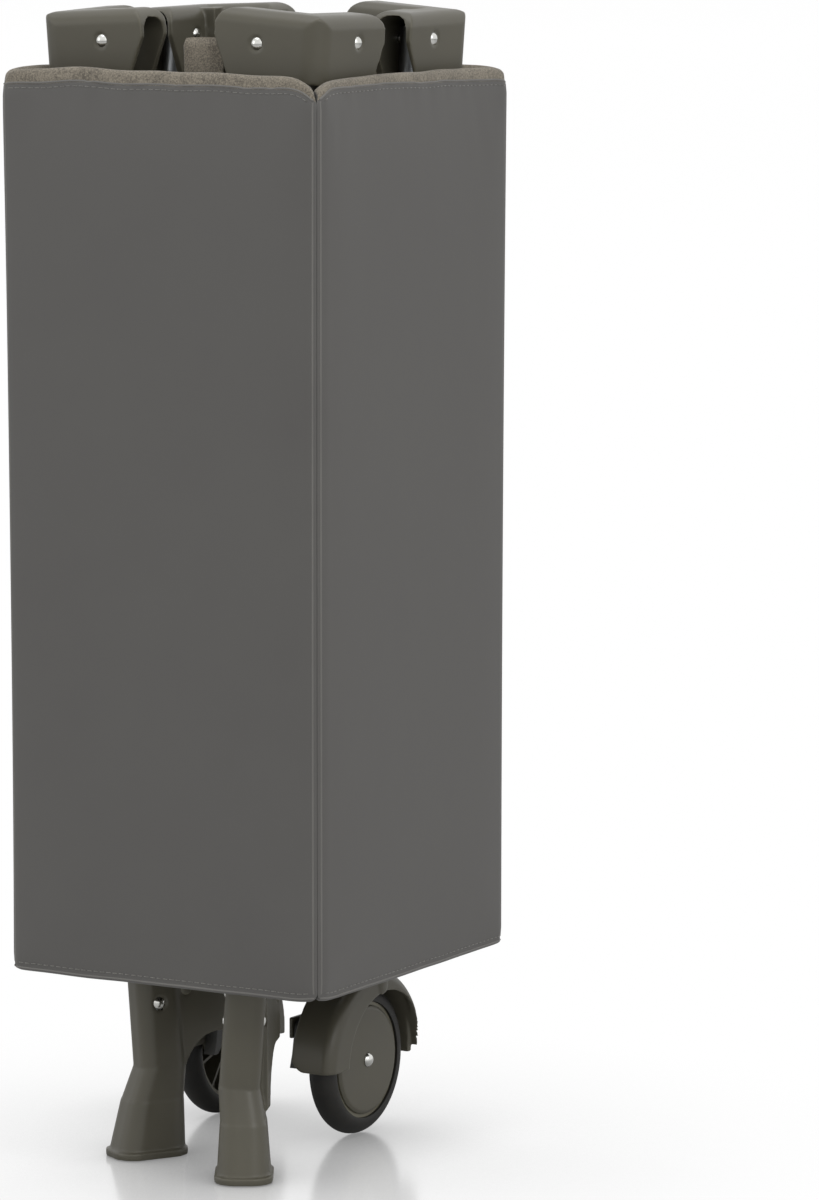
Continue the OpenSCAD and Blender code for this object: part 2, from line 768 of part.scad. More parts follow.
// Lock between two half rails whose lower pins are pin_gap apart: an open topped channel with two pins
module lock(pin_gap, plane, z) {
    half = pin_gap / 2;
    button_hole = 14.6;
    color(molding) translate([0, plane, z]) {
        difference() {
            translate([-half - lock_end, -lock_w / 2, lock_floor])
                cube([2 * (half + lock_end), lock_w, 11 - lock_floor]);
            translate([-half - lock_end - 1, -lock_w / 2 + lock_wall, lock_floor + 3])
                cube([2 * (half + lock_end + 1), lock_w - 2 * lock_wall, 40]);
            translate([0, 0, lock_floor]) cube([button_hole, button_hole, 20], center = true);
            for (s = [-1, 1]) translate([s * half, 0, 0])
                rotate([90, 0, 0]) cylinder(d = pin_d + fit, h = lock_w + 2, center = true);
        }
        for (s = [-1, 1]) translate([s * half, 0, 0])
            rotate([90, 0, 0]) cylinder(d = pin_d, h = lock_w - 0.4, center = true);
    }
}

// Push button in a lock's floor, which rises when it is pressed
module lock_button(plane, z) {
    key = 13.8;
    color("#3a3a35") translate([-key / 2, plane, z + lock_floor]) {
        translate([0, -key / 2, -5]) cube([key, key, 8.6]);
        translate([0, -key / 2 - 2.6, 3.3]) cube([key, key + 5.2, 2]);
    }
}

short_gap = side_pin_gap(rail_pin.x, rail_short);
long_gap = side_pin_gap(rail_pin.y, rail_long);

module short_lock(c) { on_short_side(c) lock(short_gap, arm_mid.y, lock_z(rail_short)); }
module long_lock(c) { on_long_side(c) lock(long_gap, arm_mid.x, lock_z(rail_long)); }
module short_button(c) { on_short_side(c) lock_button(arm_mid.y, lock_z(rail_short)); }
module long_button(c) { on_long_side(c) lock_button(arm_mid.x, lock_z(rail_long)); }

// ---- Mattress ----

// Plan of half a panel of the right side, from its middle to the seam, at positive y. The outer
// edge is rounded, and the inner side is cut at 45 degrees where the next panel meets it.
module panel_plan() {
    outer = wrap_w / 2;
    edge = seam - seam_gap / 2;
    translate([outer - panel_edge_r, -eps]) square([panel_edge_r, edge - panel_edge_r + eps]);
    intersection() {
        translate([outer - panel_edge_r, edge - panel_edge_r]) circle(panel_edge_r);
        translate([outer - panel_edge_r, 0]) square([panel_edge_r, edge]);
    }
    polygon([
        [panel_in, -eps],
        [outer - panel_edge_r + eps, -eps],
        [outer - panel_edge_r + eps, edge],
        [outer - seam_in, edge],
        [panel_in, edge - (panel_t - seam_in)]
    ]);
}

module panel_full() {
    color(vinyl) translate([0, 0, wrap_z]) linear_extrude(panel_h) {
        panel_plan();
        mirror([0, 1]) panel_plan();
    }
}

// Half width flap on the left side; the two flaps meet in the middle
module panel_flap(s) {
    color(vinyl) mirror([1, 0, 0]) mirror([0, s > 0 ? 0 : 1, 0])
        translate([0, 0, wrap_z]) linear_extrude(panel_h) difference() {
            panel_plan();
            translate([0, -1]) square([wrap_w, 1 + seam_gap / 2]);
        }
}

// Two webbing straps with hook and loop ends, let into the flaps' outer face
module mattress_straps() {
    strap_l = 90;
    strap_t = 0.8;
    for (z = [0.25, 0.75])
        color("#3f3f3b") translate([-wrap_w / 2 - strap_t, -strap_l / 2 + 20, wrap_z + z * panel_h])
            cube([strap_t, strap_l, strap_w]);
}

// ---- Gathered side walls ----
// Each fabric wall is gathered between the two half rails of its side.

bundle_t = 22;
bundle_top = 741;
above_lock = 24;      // from a lock's pins up to the gathered wall over it

// Outline of a gathered wall: half_top wide above, narrowing to half_low, with a rounded upper edge
module bundle(half_top, half_low, low, top, plane) {
    round_off = 8;
    color(flannel) translate([0, plane + bundle_t / 2, 0]) rotate([90, 0, 0]) linear_extrude(bundle_t)
        polygon([
            [-half_low, low],
            [half_low, low],
            [half_top, top - round_off],
            [half_top - round_off * 0.3, top - round_off * 0.3],
            [half_top - round_off, top],
            [round_off - half_top, top],
            [round_off * 0.3 - half_top, top - round_off * 0.3],
            [-half_top, top - round_off]
        ]);
}

module short_bundle(c, top, shift) {
    half_top = 17;
    half_low = 13;
    on_short_side(c) translate([shift, 0, 0])
        bundle(half_top, half_low, lock_z(rail_short) + above_lock, top, arm_mid.y);
}

module long_bundle(c) {
    half_top = 14;
    half_low = 5;
    on_long_side(c) bundle(half_top, half_low, lock_z(rail_long) + above_lock, bundle_top, arm_mid.x);
}

// Shapes are drawn round the wrap's middle; this sets them about the middle of the outline
module framed() {
    translate([0, -rear_reach, 0]) children();
}

framed() post(foot_fl, FL, foot_post_z, foot_rivet_z);  // post_front_left
framed() post(foot_fr, FR, foot_post_z, foot_rivet_z);  // post_front_right
framed() post(foot_rr, RR, housing_post_z, []);  // post_rear_right
framed() post(foot_rl, RL, housing_post_z, []);  // post_rear_left
framed() cap(foot_fl, FL);  // cap_front_left
framed() cap(foot_fr, FR);  // cap_front_right
framed() cap(foot_rr, RR);  // cap_rear_right
framed() cap(foot_rl, RL);  // cap_rear_left
framed() { corner_rivets(FL); foot_rivets(foot_fl, FL); }  // rivets_front_left
framed() { corner_rivets(FR); foot_rivets(foot_fr, FR); }  // rivets_front_right
framed() { corner_rivets(RR); housing_rivets(wheel_rr, RR); }  // rivets_rear_right
framed() { corner_rivets(RL); housing_rivets(wheel_rl, RL); }  // rivets_rear_left
framed() foot(foot_fl, FL, 66);  // foot_front_left
framed() foot(foot_fr, FR, 65);  // foot_front_right
framed() foot_pad(foot_fl, FL);  // foot_pad_front_left
framed() foot_pad(foot_fr, FR);  // foot_pad_front_right
framed() wheel_housing(wheel_rr, foot_rr, RR, 34);  // wheel_housing_right
framed() wheel_housing(wheel_rl, foot_rl, RL, 38);  // wheel_housing_left
framed() wheel_rim(wheel_rr, RR);  // wheel_rim_right
framed() wheel_rim(wheel_rl, RL);  // wheel_rim_left
framed() wheel_cover(wheel_rr, RR);  // wheel_cover_right
framed() wheel_cover(wheel_rl, RL);  // wheel_cover_left
framed() tyre(wheel_rr, RR);  // tyre_right
framed() tyre(wheel_rl, RL);  // tyre_left
framed() brake_lever(wheel_rr, RR);  // brake_lever_right
framed() brake_lever(wheel_rl, RL);  // brake_lever_left
framed() base_tube(FL);  // base_tube_front_left
framed() base_tube(FR);  // base_tube_front_right
framed() base_tube(RR);  // base_tube_rear_right
framed() base_tube(RL);  // base_tube_rear_left
framed() hub_body();
framed() hub_cover();
framed() hub_pins();
framed() pull_strap();
framed() short_rail(FL);  // rail_front_left
framed() short_rail(FR);  // rail_front_right
framed() short_rail(RL);  // rail_rear_left
framed() short_rail(RR);  // rail_rear_right
framed() long_rail(FL);  // rail_left_front
framed() long_rail(RL);  // rail_left_rear
framed() long_rail(FR);  // rail_right_front
framed() long_rail(RR);  // rail_right_rear
framed() short_lock(FR);  // lock_front
framed() short_lock(RR);  // lock_rear
framed() long_lock(RL);  // lock_left
framed() long_lock(RR);  // lock_right
framed() short_button(FR);  // lock_button_front
framed() short_button(RR);  // lock_button_rear
framed() long_button(RL);  // lock_button_left
framed() long_button(RR);  // lock_button_right
framed() panel_full();  // mattress_right
framed() rotate([0, 0, -90]) panel_full();  // mattress_front
framed() rotate([0, 0, 90]) panel_full();  // mattress_rear
framed() panel_flap(-1);  // mattress_flap_front
framed() panel_flap(1);  // mattress_flap_rear
framed() mattress_straps();
framed() short_bundle(FR, bundle_top + 32, 16);  // wall_fabric_front
framed() short_bundle(RR, bundle_top, 0);  // wall_fabric_rear
framed() long_bundle(RL);  // wall_fabric_left
framed() long_bundle(RR);  // wall_fabric_right
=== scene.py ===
"""Folded playpen: its padded mattress is wrapped round the folded frame.

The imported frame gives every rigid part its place. This script dresses it: moulded caps, feet and
wheel housings with soft edges, the padded mattress panels with their edge bands, piping, stitches
and straps, the gathered side walls, and the finishes of every part. Lengths are in metres.
"""

import json
import logging
import math
from dataclasses import dataclass
from enum import Enum

import bmesh
import bpy
import numpy as np
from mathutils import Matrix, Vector, noise
from mathutils.bvhtree import BVHTree


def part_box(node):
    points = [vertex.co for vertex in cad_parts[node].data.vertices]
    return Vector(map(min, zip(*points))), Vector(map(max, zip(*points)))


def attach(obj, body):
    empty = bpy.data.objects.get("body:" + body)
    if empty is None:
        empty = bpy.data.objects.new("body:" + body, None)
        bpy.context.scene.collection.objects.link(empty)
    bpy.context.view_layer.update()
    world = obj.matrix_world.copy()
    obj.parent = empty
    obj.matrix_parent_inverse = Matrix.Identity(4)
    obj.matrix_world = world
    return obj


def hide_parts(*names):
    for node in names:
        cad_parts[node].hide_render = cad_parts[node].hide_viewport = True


log = logging.getLogger("playpen")
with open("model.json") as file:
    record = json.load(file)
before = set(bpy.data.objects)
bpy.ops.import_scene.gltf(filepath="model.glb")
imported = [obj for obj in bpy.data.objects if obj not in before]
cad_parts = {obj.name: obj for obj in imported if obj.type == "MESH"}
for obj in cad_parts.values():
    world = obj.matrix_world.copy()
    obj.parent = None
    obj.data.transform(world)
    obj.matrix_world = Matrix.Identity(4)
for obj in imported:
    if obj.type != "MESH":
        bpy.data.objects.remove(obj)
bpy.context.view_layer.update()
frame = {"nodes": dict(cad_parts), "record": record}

MM = 0.001


# ---- Shared helpers ----


def linear(code: str) -> tuple[float, float, float, float]:
    """Turns an sRGB hex colour to linear.

    Args:
        code: Six hex digits, with or without a leading #.

    Returns:
        The linear red, green, blue and an alpha of 1.
    """
    code = code.lstrip("#")
    channels = [int(code[i : i + 2], 16) / 255 for i in (0, 2, 4)]
    return (
        *(c / 12.92 if c <= 0.04045 else ((c + 0.055) / 1.055) ** 2.4 for c in channels),
        1.0,
    )


def add(
    tree: bpy.types.NodeTree,
    kind: str,
    settings: dict | None = None,
    inputs: dict | None = None,
) -> bpy.types.Node:
    """Adds a node with its settings and links.

    Args:
        tree: The node tree that gets the node.
        kind: The node's type name.
        settings: Properties of the node.
        inputs: Values, or sockets to link, by the input's name or number.

    Returns:
        The new node.
    """
    made = tree.nodes.new(kind)
    for key, value in (settings or {}).items():
        setattr(made, key, value)
    for key, value in (inputs or {}).items():
        socket = made.inputs[key]
        if isinstance(value, bpy.types.NodeSocket):
            tree.links.new(value, socket)
        else:
            socket.default_value = value
    return made


def per_mm(size: float) -> float:
    """Returns a texture's scale for a pattern whose features are size millimetres apart."""
    return 1 / (size * MM)


def mesh_object(name: str, points: np.ndarray, faces: list) -> bpy.types.Object:
    """Makes a linked mesh object at the origin.

    Args:
        name: The object's name.
        points: Vertex positions in metres.
        faces: Lists of vertex numbers.

    Returns:
        The new object.
    """
    mesh = bpy.data.meshes.new(name)
    mesh.from_pydata([tuple(p) for p in points], [], [tuple(f) for f in faces])
    mesh.update()
    made = bpy.data.objects.new(name, mesh)
    bpy.context.scene.collection.objects.link(made)
    return made


def outward(piece: bpy.types.Object) -> None:
    """Turns a closed piece's faces outwards and shades it smooth."""
    work = bmesh.new()
    work.from_mesh(piece.data)
    bmesh.ops.recalc_face_normals(work, faces=work.faces)
    work.to_mesh(piece.data)
    work.free()
    piece.data.shade_smooth()


def settle(piece: bpy.types.Object) -> None:
    """Applies every modifier of a piece by replacing its mesh with the evaluated one."""
    bpy.context.view_layer.update()
    graph = bpy.context.evaluated_depsgraph_get()
    done = bpy.data.meshes.new_from_object(piece.evaluated_get(graph))
    piece.modifiers.clear()
    old = piece.data
    piece.data = done
    bpy.data.meshes.remove(old)


def coordinates(mesh: bpy.types.Mesh) -> np.ndarray:
    """Returns a mesh's vertex positions as rows of an array."""
    flat = np.empty(len(mesh.vertices) * 3)
    mesh.vertices.foreach_get("co", flat)
    return flat.reshape(-1, 3)


def place(mesh: bpy.types.Mesh, points: np.ndarray) -> None:
    """Moves a mesh's vertices to the given rows."""
    mesh.vertices.foreach_set("co", np.ascontiguousarray(points, dtype=np.float32).ravel())
    mesh.update()


def wander(value: float, seed: float) -> float:
    """Returns a smooth wave from about -1 to 1 that never repeats, for hand-sewn unevenness."""
    return noise.noise(Vector((value, seed, 0.37 * seed))) * 1.6


# ---- Finishes ----


class Slot(Enum):
    """The record's material slots."""

    TUBE = "satin_steel_tube"
    RIVET = "polished_rivet"
    MOULDING = "olive_grey_moulding"
    DARK = "dark_moulding"
    RUBBER = "dark_rubber"
    WEBBING = "webbing"
    VINYL = "grey_vinyl"
    FABRIC = "taupe_fabric"


@dataclass(frozen=True)
class Finish:
    """What every finish shares: its name, its two colours and how rough it is."""

    name: str
    colour: str
    second: str
    roughness: float

    def begin(self) -> tuple[bpy.types.Material, bpy.types.NodeTree, bpy.types.Node, bpy.types.NodeSocket]:
        """Makes an empty material with its shader.

        Returns:
            The material, its tree, its shader and the Object coordinates.
        """
        made = bpy.data.materials.new(self.name)
        made.use_nodes = True
        tree = made.node_tree
        tree.nodes.clear()
        shader = add(tree, "ShaderNodeBsdfPrincipled")
        shader.inputs["Roughness"].default_value = self.roughness
        add(tree, "ShaderNodeOutputMaterial", inputs={"Surface": shader.outputs[0]})
        where = add(tree, "ShaderNodeTexCoord").outputs["Object"]
        return made, tree, shader, where

    def paint(self, tree: bpy.types.NodeTree, shader: bpy.types.Node, share: bpy.types.NodeSocket) -> None:
        """Colours the shader between the finish's two colours, by the share socket."""
        mix = add(
            tree,
            "ShaderNodeMix",
            {"data_type": "RGBA"},
            {0: share, 6: linear(self.colour), 7: linear(self.second)},
        )
        tree.links.new(mix.outputs[2], shader.inputs["Base Color"])

    def vary(
        self,
        tree: bpy.types.NodeTree,
        shader: bpy.types.Node,
        share: bpy.types.NodeSocket,
        less: float,
        more: float,
    ) -> None:
        """Varies the roughness about the finish's own, from less below it to more above it."""
        rough = add(
            tree,
            "ShaderNodeMapRange",
            inputs={0: share, 1: 0.3, 2: 0.7, 3: self.roughness - less, 4: self.roughness + more},
        )
        tree.links.new(rough.outputs[0], shader.inputs["Roughness"])


def cloud(
    tree: bpy.types.NodeTree,
    where: bpy.types.NodeSocket,
    size: float,
    detail: float = 2.0,
    roughness: float = 0.5,
) -> bpy.types.NodeSocket:
    """Returns a noise whose features are size millimetres apart."""
    made = add(
        tree,
        "ShaderNodeTexNoise",
        inputs={"Vector": where, "Scale": per_mm(size), "Detail": detail, "Roughness": roughness},
    )
    return made.outputs[0]


def weighed(
    tree: bpy.types.NodeTree,
    first: bpy.types.NodeSocket,
    weight: float,
    second: bpy.types.NodeSocket,
    clamp: bool = False,
) -> bpy.types.NodeSocket:
    """Returns first times weight plus second, kept from 0 to 1 where it is clamped."""
    made = add(
        tree,
        "ShaderNodeMath",
        {"operation": "MULTIPLY_ADD", "use_clamp": clamp},
        {0: first, 1: weight, 2: second},
    )
    return made.outputs[0]


def spread(
    tree: bpy.types.NodeTree, value: bpy.types.NodeSocket, low: float, high: float, most: float = 1.0
) -> bpy.types.NodeSocket:
    """Returns 0 where value is low, most where it is high, and even steps between."""
    return add(tree, "ShaderNodeMapRange", inputs={0: value, 1: low, 2: high, 4: most}).outputs[0]


def relief(
    tree: bpy.types.NodeTree,
    shader: bpy.types.Node,
    height: bpy.types.NodeSocket,
    depth: float,
    strength: float,
) -> None:
    """Roughens the shader's surface by a height socket, depth millimetres deep."""
    bump = add(
        tree,
        "ShaderNodeBump",
        inputs={"Height": height, "Distance": depth * MM, "Strength": strength},
    )
    tree.links.new(bump.outputs[0], shader.inputs["Normal"])


@dataclass(frozen=True)
class MouldedPlastic(Finish):
    """Polypropylene from an eroded mould: a fine even grain, paler along sharp convex edges."""

    patch: float = 45.0
    grain: float = 0.7
    grain_depth: float = 0.05

    def material(self) -> bpy.types.Material:
        """Builds the material."""
        made, tree, shader, where = self.begin()
        patches = cloud(tree, where, self.patch, 4.0, 0.6)
        # paler along sharp convex edges, where the pointiness is high
        edge = add(tree, "ShaderNodeNewGeometry").outputs["Pointiness"]
        paler_edges = spread(tree, edge, 0.52, 0.62, 0.75)
        self.paint(tree, shader, weighed(tree, patches, 0.3, paler_edges, True))
        self.vary(tree, shader, patches, 0.05, 0.06)
        relief(tree, shader, cloud(tree, where, self.grain), self.grain_depth, 0.6)
        shader.inputs["IOR"].default_value = 1.49
        return made


@dataclass(frozen=True)
class CoatedVinyl(Finish):
    """Polyester cloth under a matt vinyl coat: a fine grain on a softly uneven ground."""

    patch: float = 90.0
    slack: float = 38.0
    grain: float = 1.1

    def material(self) -> bpy.types.Material:
        """Builds the material."""
        made, tree, shader, where = self.begin()
        patches = cloud(tree, where, self.patch, 5.0, 0.55)
        self.paint(tree, shader, patches)
        self.vary(tree, shader, patches, 0.04, 0.05)
        height = weighed(tree, cloud(tree, where, self.slack), 9.0, cloud(tree, where, self.grain))
        relief(tree, shader, height, 0.05, 0.7)
        shader.inputs["Sheen Weight"].default_value = 0.08
        shader.inputs["Sheen Roughness"].default_value = 0.4
        shader.inputs["IOR"].default_value = 1.52
        return made


@dataclass(frozen=True)
class HeatheredCloth(Finish):
    """Brushed polyester of mixed yarns: flecks of two shades, with short fibres that catch light."""

    fleck: float = 1.15
    patch: float = 14.0
    thread: float = 1.4

    def material(self) -> bpy.types.Material:
        """Builds the material."""
        made, tree, shader, where = self.begin()
        flecks = cloud(tree, where, self.fleck, 3.0, 0.7)
        mixed = weighed(tree, cloud(tree, where, self.patch), 0.25, flecks)
        self.paint(tree, shader, spread(tree, mixed, 0.48, 0.78))
        threads = add(
            tree,
            "ShaderNodeTexVoronoi",
            inputs={"Vector": where, "Scale": per_mm(self.thread)},
        )
        relief(tree, shader, threads.outputs[0], 0.3, 0.55)
        shader.inputs["Sheen Weight"].default_value = 0.25
        shader.inputs["Sheen Roughness"].default_value = 0.5
        return made


@dataclass(frozen=True)
class RibbedWebbing(Finish):
    """Woven polypropylene webbing: close ribs across its length."""

    rib: float = 1.6

    def material(self) -> bpy.types.Material:
        """Builds the material."""
        made, tree, shader, where = self.begin()
        waves_per_unit = 20
        ribs = add(
            tree,
            "ShaderNodeTexWave",
            {"bands_direction": "Y"},
            {"Vector": where, "Scale": per_mm(self.rib) / waves_per_unit, "Distortion": 0.4},
        ).outputs["Fac"]
        self.paint(tree, shader, ribs)
        relief(tree, shader, ribs, 0.25, 0.7)
        return made


@dataclass(frozen=True)
class SoftRubber(Finish):
    """Moulded synthetic rubber: near black, dull, with a dusty bloom where it has rolled."""

    bloom: float = 11.0
    grain: float = 0.8

    def material(self) -> bpy.types.Material:
        """Builds the material."""
        made, tree, shader, where = self.begin()
        dusty = cloud(tree, where, self.bloom, 5.0, 0.65)
        self.paint(tree, shader, spread(tree, dusty, 0.45, 0.8))
        relief(tree, shader, cloud(tree, where, self.grain), 0.05, 0.5)
        shader.inputs["IOR"].default_value = 1.52
        return made


@dataclass(frozen=True)
class BareMetal(Finish):
    """Steel, drawn or headed and then plated: fine lines or small dents break its reflections."""

    line: float = 0.6
    stretch: float = 1.0

    def material(self) -> bpy.types.Material:
        """Builds the material."""
        made, tree, shader, where = self.begin()
        drawn = add(
            tree,
            "ShaderNodeMapping",
            inputs={"Vector": where, "Scale": (1.0, 1.0, self.stretch)},
        )
        lines = cloud(tree, drawn.outputs[0], self.line)
        self.paint(tree, shader, lines)
        self.vary(tree, shader, lines, 0.05, 0.07)
        relief(tree, shader, lines, 0.02, 0.3)
        shader.inputs["Metallic"].default_value = 1.0
        return made


class Finishes:
    """Every finish of the playpen, built once."""

    def __init__(self) -> None:
        """Builds the materials."""
        self.moulding = MouldedPlastic("moulded_polypropylene_olive", "#545146", "#787463", 0.4).material()
        self.dark = MouldedPlastic("moulded_nylon_black", "#242422", "#3d3d3a", 0.4).material()
        self.vinyl = CoatedVinyl("vinyl_coated_polyester_grey", "#585654", "#61605d", 0.55).material()
        # the piping is the vinyl's grey, painted lighter as a highlight along the panels' edges and seams
        self.piping_painted_highlight = CoatedVinyl("vinyl_piping_grey_painted_highlight", "#656360", "#807e7a", 0.5).material()
        self.cloth = HeatheredCloth("brushed_polyester_taupe", "#645e54", "#a09787", 0.9).material()
        self.webbing = RibbedWebbing("woven_polypropylene_webbing", "#33332f", "#4b4b46", 0.8).material()
        self.rubber = SoftRubber("moulded_rubber_black", "#151411", "#24211b", 0.6).material()
        self.tube = BareMetal("drawn_steel_tube_satin", "#85878a", "#9da0a2", 0.34, 1.5, 0.05).material()
        self.rivet = BareMetal("nickel_plated_steel_rivet", "#c9c9c4", "#e6e6e2", 0.2, 2.5).material()
        self.thread = HeatheredCloth("polyester_sewing_thread", "#6a6864", "#8e8c86", 0.7).material()


# ---- Moulded and turned parts ----


def merged_copy(node: str, name: str) -> bpy.types.Object:
    """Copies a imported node's mesh with its doubled corners merged.

    Args:
        node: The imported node.
        name: The copy's name.

    Returns:
        The copy, which rides on nothing yet.
    """
    doubled = 0.002 * MM
    mesh = frame["nodes"][node].data.copy()
    mesh.materials.clear()
    work = bmesh.new()
    work.from_mesh(mesh)
    bmesh.ops.remove_doubles(work, verts=work.verts, dist=doubled)
    work.to_mesh(mesh)
    work.free()
    for extra in list(mesh.attributes):
        if extra.name in ("custom_normal", "sharp_edge", "sharp_face"):
            mesh.attributes.remove(extra)
    made = bpy.data.objects.new(name, mesh)
    bpy.context.scene.collection.objects.link(made)
    return made


@dataclass(frozen=True)
class Softness:
    """How a soft-edged copy is made: the grid that it is made anew on, and its smoothing passes."""

    voxel: float
    passes: int


CAP = Softness(0.85 * MM, 4)
FOOT = Softness(0.95 * MM, 5)
HOUSING = Softness(0.84 * MM, 6)
COVER = Softness(0.75 * MM, 3)


@dataclass
class Mouldings:
    """Caps, feet, wheel housings and small mouldings, with the soft edges that a mould gives."""

    finishes: Finishes

    def soften(self, node: str, body: str, softness: Softness) -> bpy.types.Object:
        """Stands a soft-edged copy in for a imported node.

        Args:
            node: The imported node.
            body: The body that the node is on.
            softness: How the copy is made.

        Returns:
            The piece.
        """
        piece = merged_copy(node, f"{node}.moulded")
        shell = piece.modifiers.new("shell", "REMESH")
        shell.mode = "VOXEL"
        shell.voxel_size = softness.voxel
        relax = piece.modifiers.new("relax", "SMOOTH")
        relax.factor = 0.5
        relax.iterations = softness.passes
        settle(piece)
        piece.data.shade_smooth()
        piece.data.materials.clear()
        piece.data.materials.append(self.finishes.moulding)
        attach(piece, body)
        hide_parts(node)
        return piece

    def dull_base_pin(self, piece: bpy.types.Object, pin: Vector) -> None:
        """Gives the rivet heads at a base tube's pin the moulding's colour, as they are capped there.

        Args:
            piece: The rivets' copy.
            pin: The middle of the base tube's pin.
        """
        reach, above = 24 * MM, 12 * MM
        piece.data.materials.append(self.finishes.moulding)
        for face in piece.data.polygons:
            if (face.center - pin).length < reach and face.center.z < pin.z + above:
                face.material_index = 1

    def turned(self, node: str, body: str, material: bpy.types.Material, slot: Slot) -> bpy.types.Object:
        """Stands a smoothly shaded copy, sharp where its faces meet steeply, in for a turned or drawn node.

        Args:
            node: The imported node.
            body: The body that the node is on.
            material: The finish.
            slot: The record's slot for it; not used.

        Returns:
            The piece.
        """
        crease = math.radians(44)
        piece = merged_copy(node, f"{node}.finished")
        piece.data.shade_smooth()
        piece.data.set_sharp_from_angle(angle=crease)
        piece.data.materials.clear()
        piece.data.materials.append(material)
        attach(piece, body)
        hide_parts(node)
        return piece

    def build(self) -> None:
        """Builds every moulding and turned part, body by body."""
        finishes = self.finishes
        joints = frame["record"]["behaviour"]["joints"]
        pins = {joint["name"]: Vector(joint["pos_m"]) for joint in joints if "pos_m" in joint}
        for side, end in (("right", "front"), ("left", "front"), ("right", "rear"), ("left", "rear")):
            body = f"{end}_{side}_post"
            self.soften(f"cap_{end}_{side}", body, CAP)
            rivets = self.turned(f"rivets_{end}_{side}", body, finishes.rivet, Slot.RIVET)
            if end == "front":
                self.soften(f"foot_front_{side}", body, FOOT)
                joint = "unfold" if side == "right" else "post_level_front_left"
                self.dull_base_pin(rivets, pins[joint])
        for side in ("right", "left"):
            self.soften(f"wheel_housing_{side}", f"rear_{side}_post", HOUSING)
            self.soften(f"wheel_cover_{side}", f"{side}_wheel", COVER)
            self.turned(f"wheel_rim_{side}", f"{side}_wheel", finishes.moulding, Slot.MOULDING)
            self.turned(f"tyre_{side}", f"{side}_wheel", finishes.rubber, Slot.RUBBER)
            self.turned(f"brake_lever_{side}", f"{side}_brake", finishes.dark, Slot.DARK)
        log.info("mouldings and turned parts built")

    def dress_rest(self) -> None:
        """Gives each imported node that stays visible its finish."""
        finishes = self.finishes
        by_start = {
            "post_": finishes.tube,
            "base_tube_": finishes.tube,
            "rail_": finishes.tube,
            "hub_pins": finishes.rivet,
            "hub_": finishes.moulding,
            "lock_button_": finishes.dark,
            "lock_": finishes.moulding,
            "foot_pad_": finishes.rubber,
            "pull_strap": finishes.webbing,
            "mattress_straps": finishes.webbing,
            "wall_fabric_": finishes.cloth,
            "mattress_": finishes.vinyl,
        }
        for name, node in frame["nodes"].items():
            start = next((s for s in by_start if name.startswith(s)), None)
            if start:
                node.data.materials.clear()
                node.data.materials.append(by_start[start])


# ---- Mattress ----


@dataclass(frozen=True)
class Wrap:
    """Sizes of the wrapped mattress, read from its packed panels."""

    width: float
    thick: float
    low: float
    high: float
    middle: float
    seam_in: float = 3.4 * MM

    @classmethod
    def packed(cls) -> "Wrap":
        """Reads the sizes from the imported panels' boxes."""
        low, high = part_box("mattress_right")
        width = 2 * high.x
        return cls(width, high.x - low.x, low.z, high.z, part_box("mattress_front")[0].y + width / 2)

    @property
    def seam(self) -> float:
        """Distance of the corner seams from the wrap's middle planes."""
        return self.width / 2 - self.seam_in


@dataclass
class Ends:
    """How a panel ends at its two seams, the first one and the last one."""

    sag: tuple[float, float]
    dip: tuple[float, float] = (1.2 * MM, 1.2 * MM)
    band_left: tuple[float, float] = (0.85, 0.85)
    lift: tuple[float, float] = (0.5 * MM, 0.5 * MM)
    band: tuple[float, float] = (0.9, 0.9)


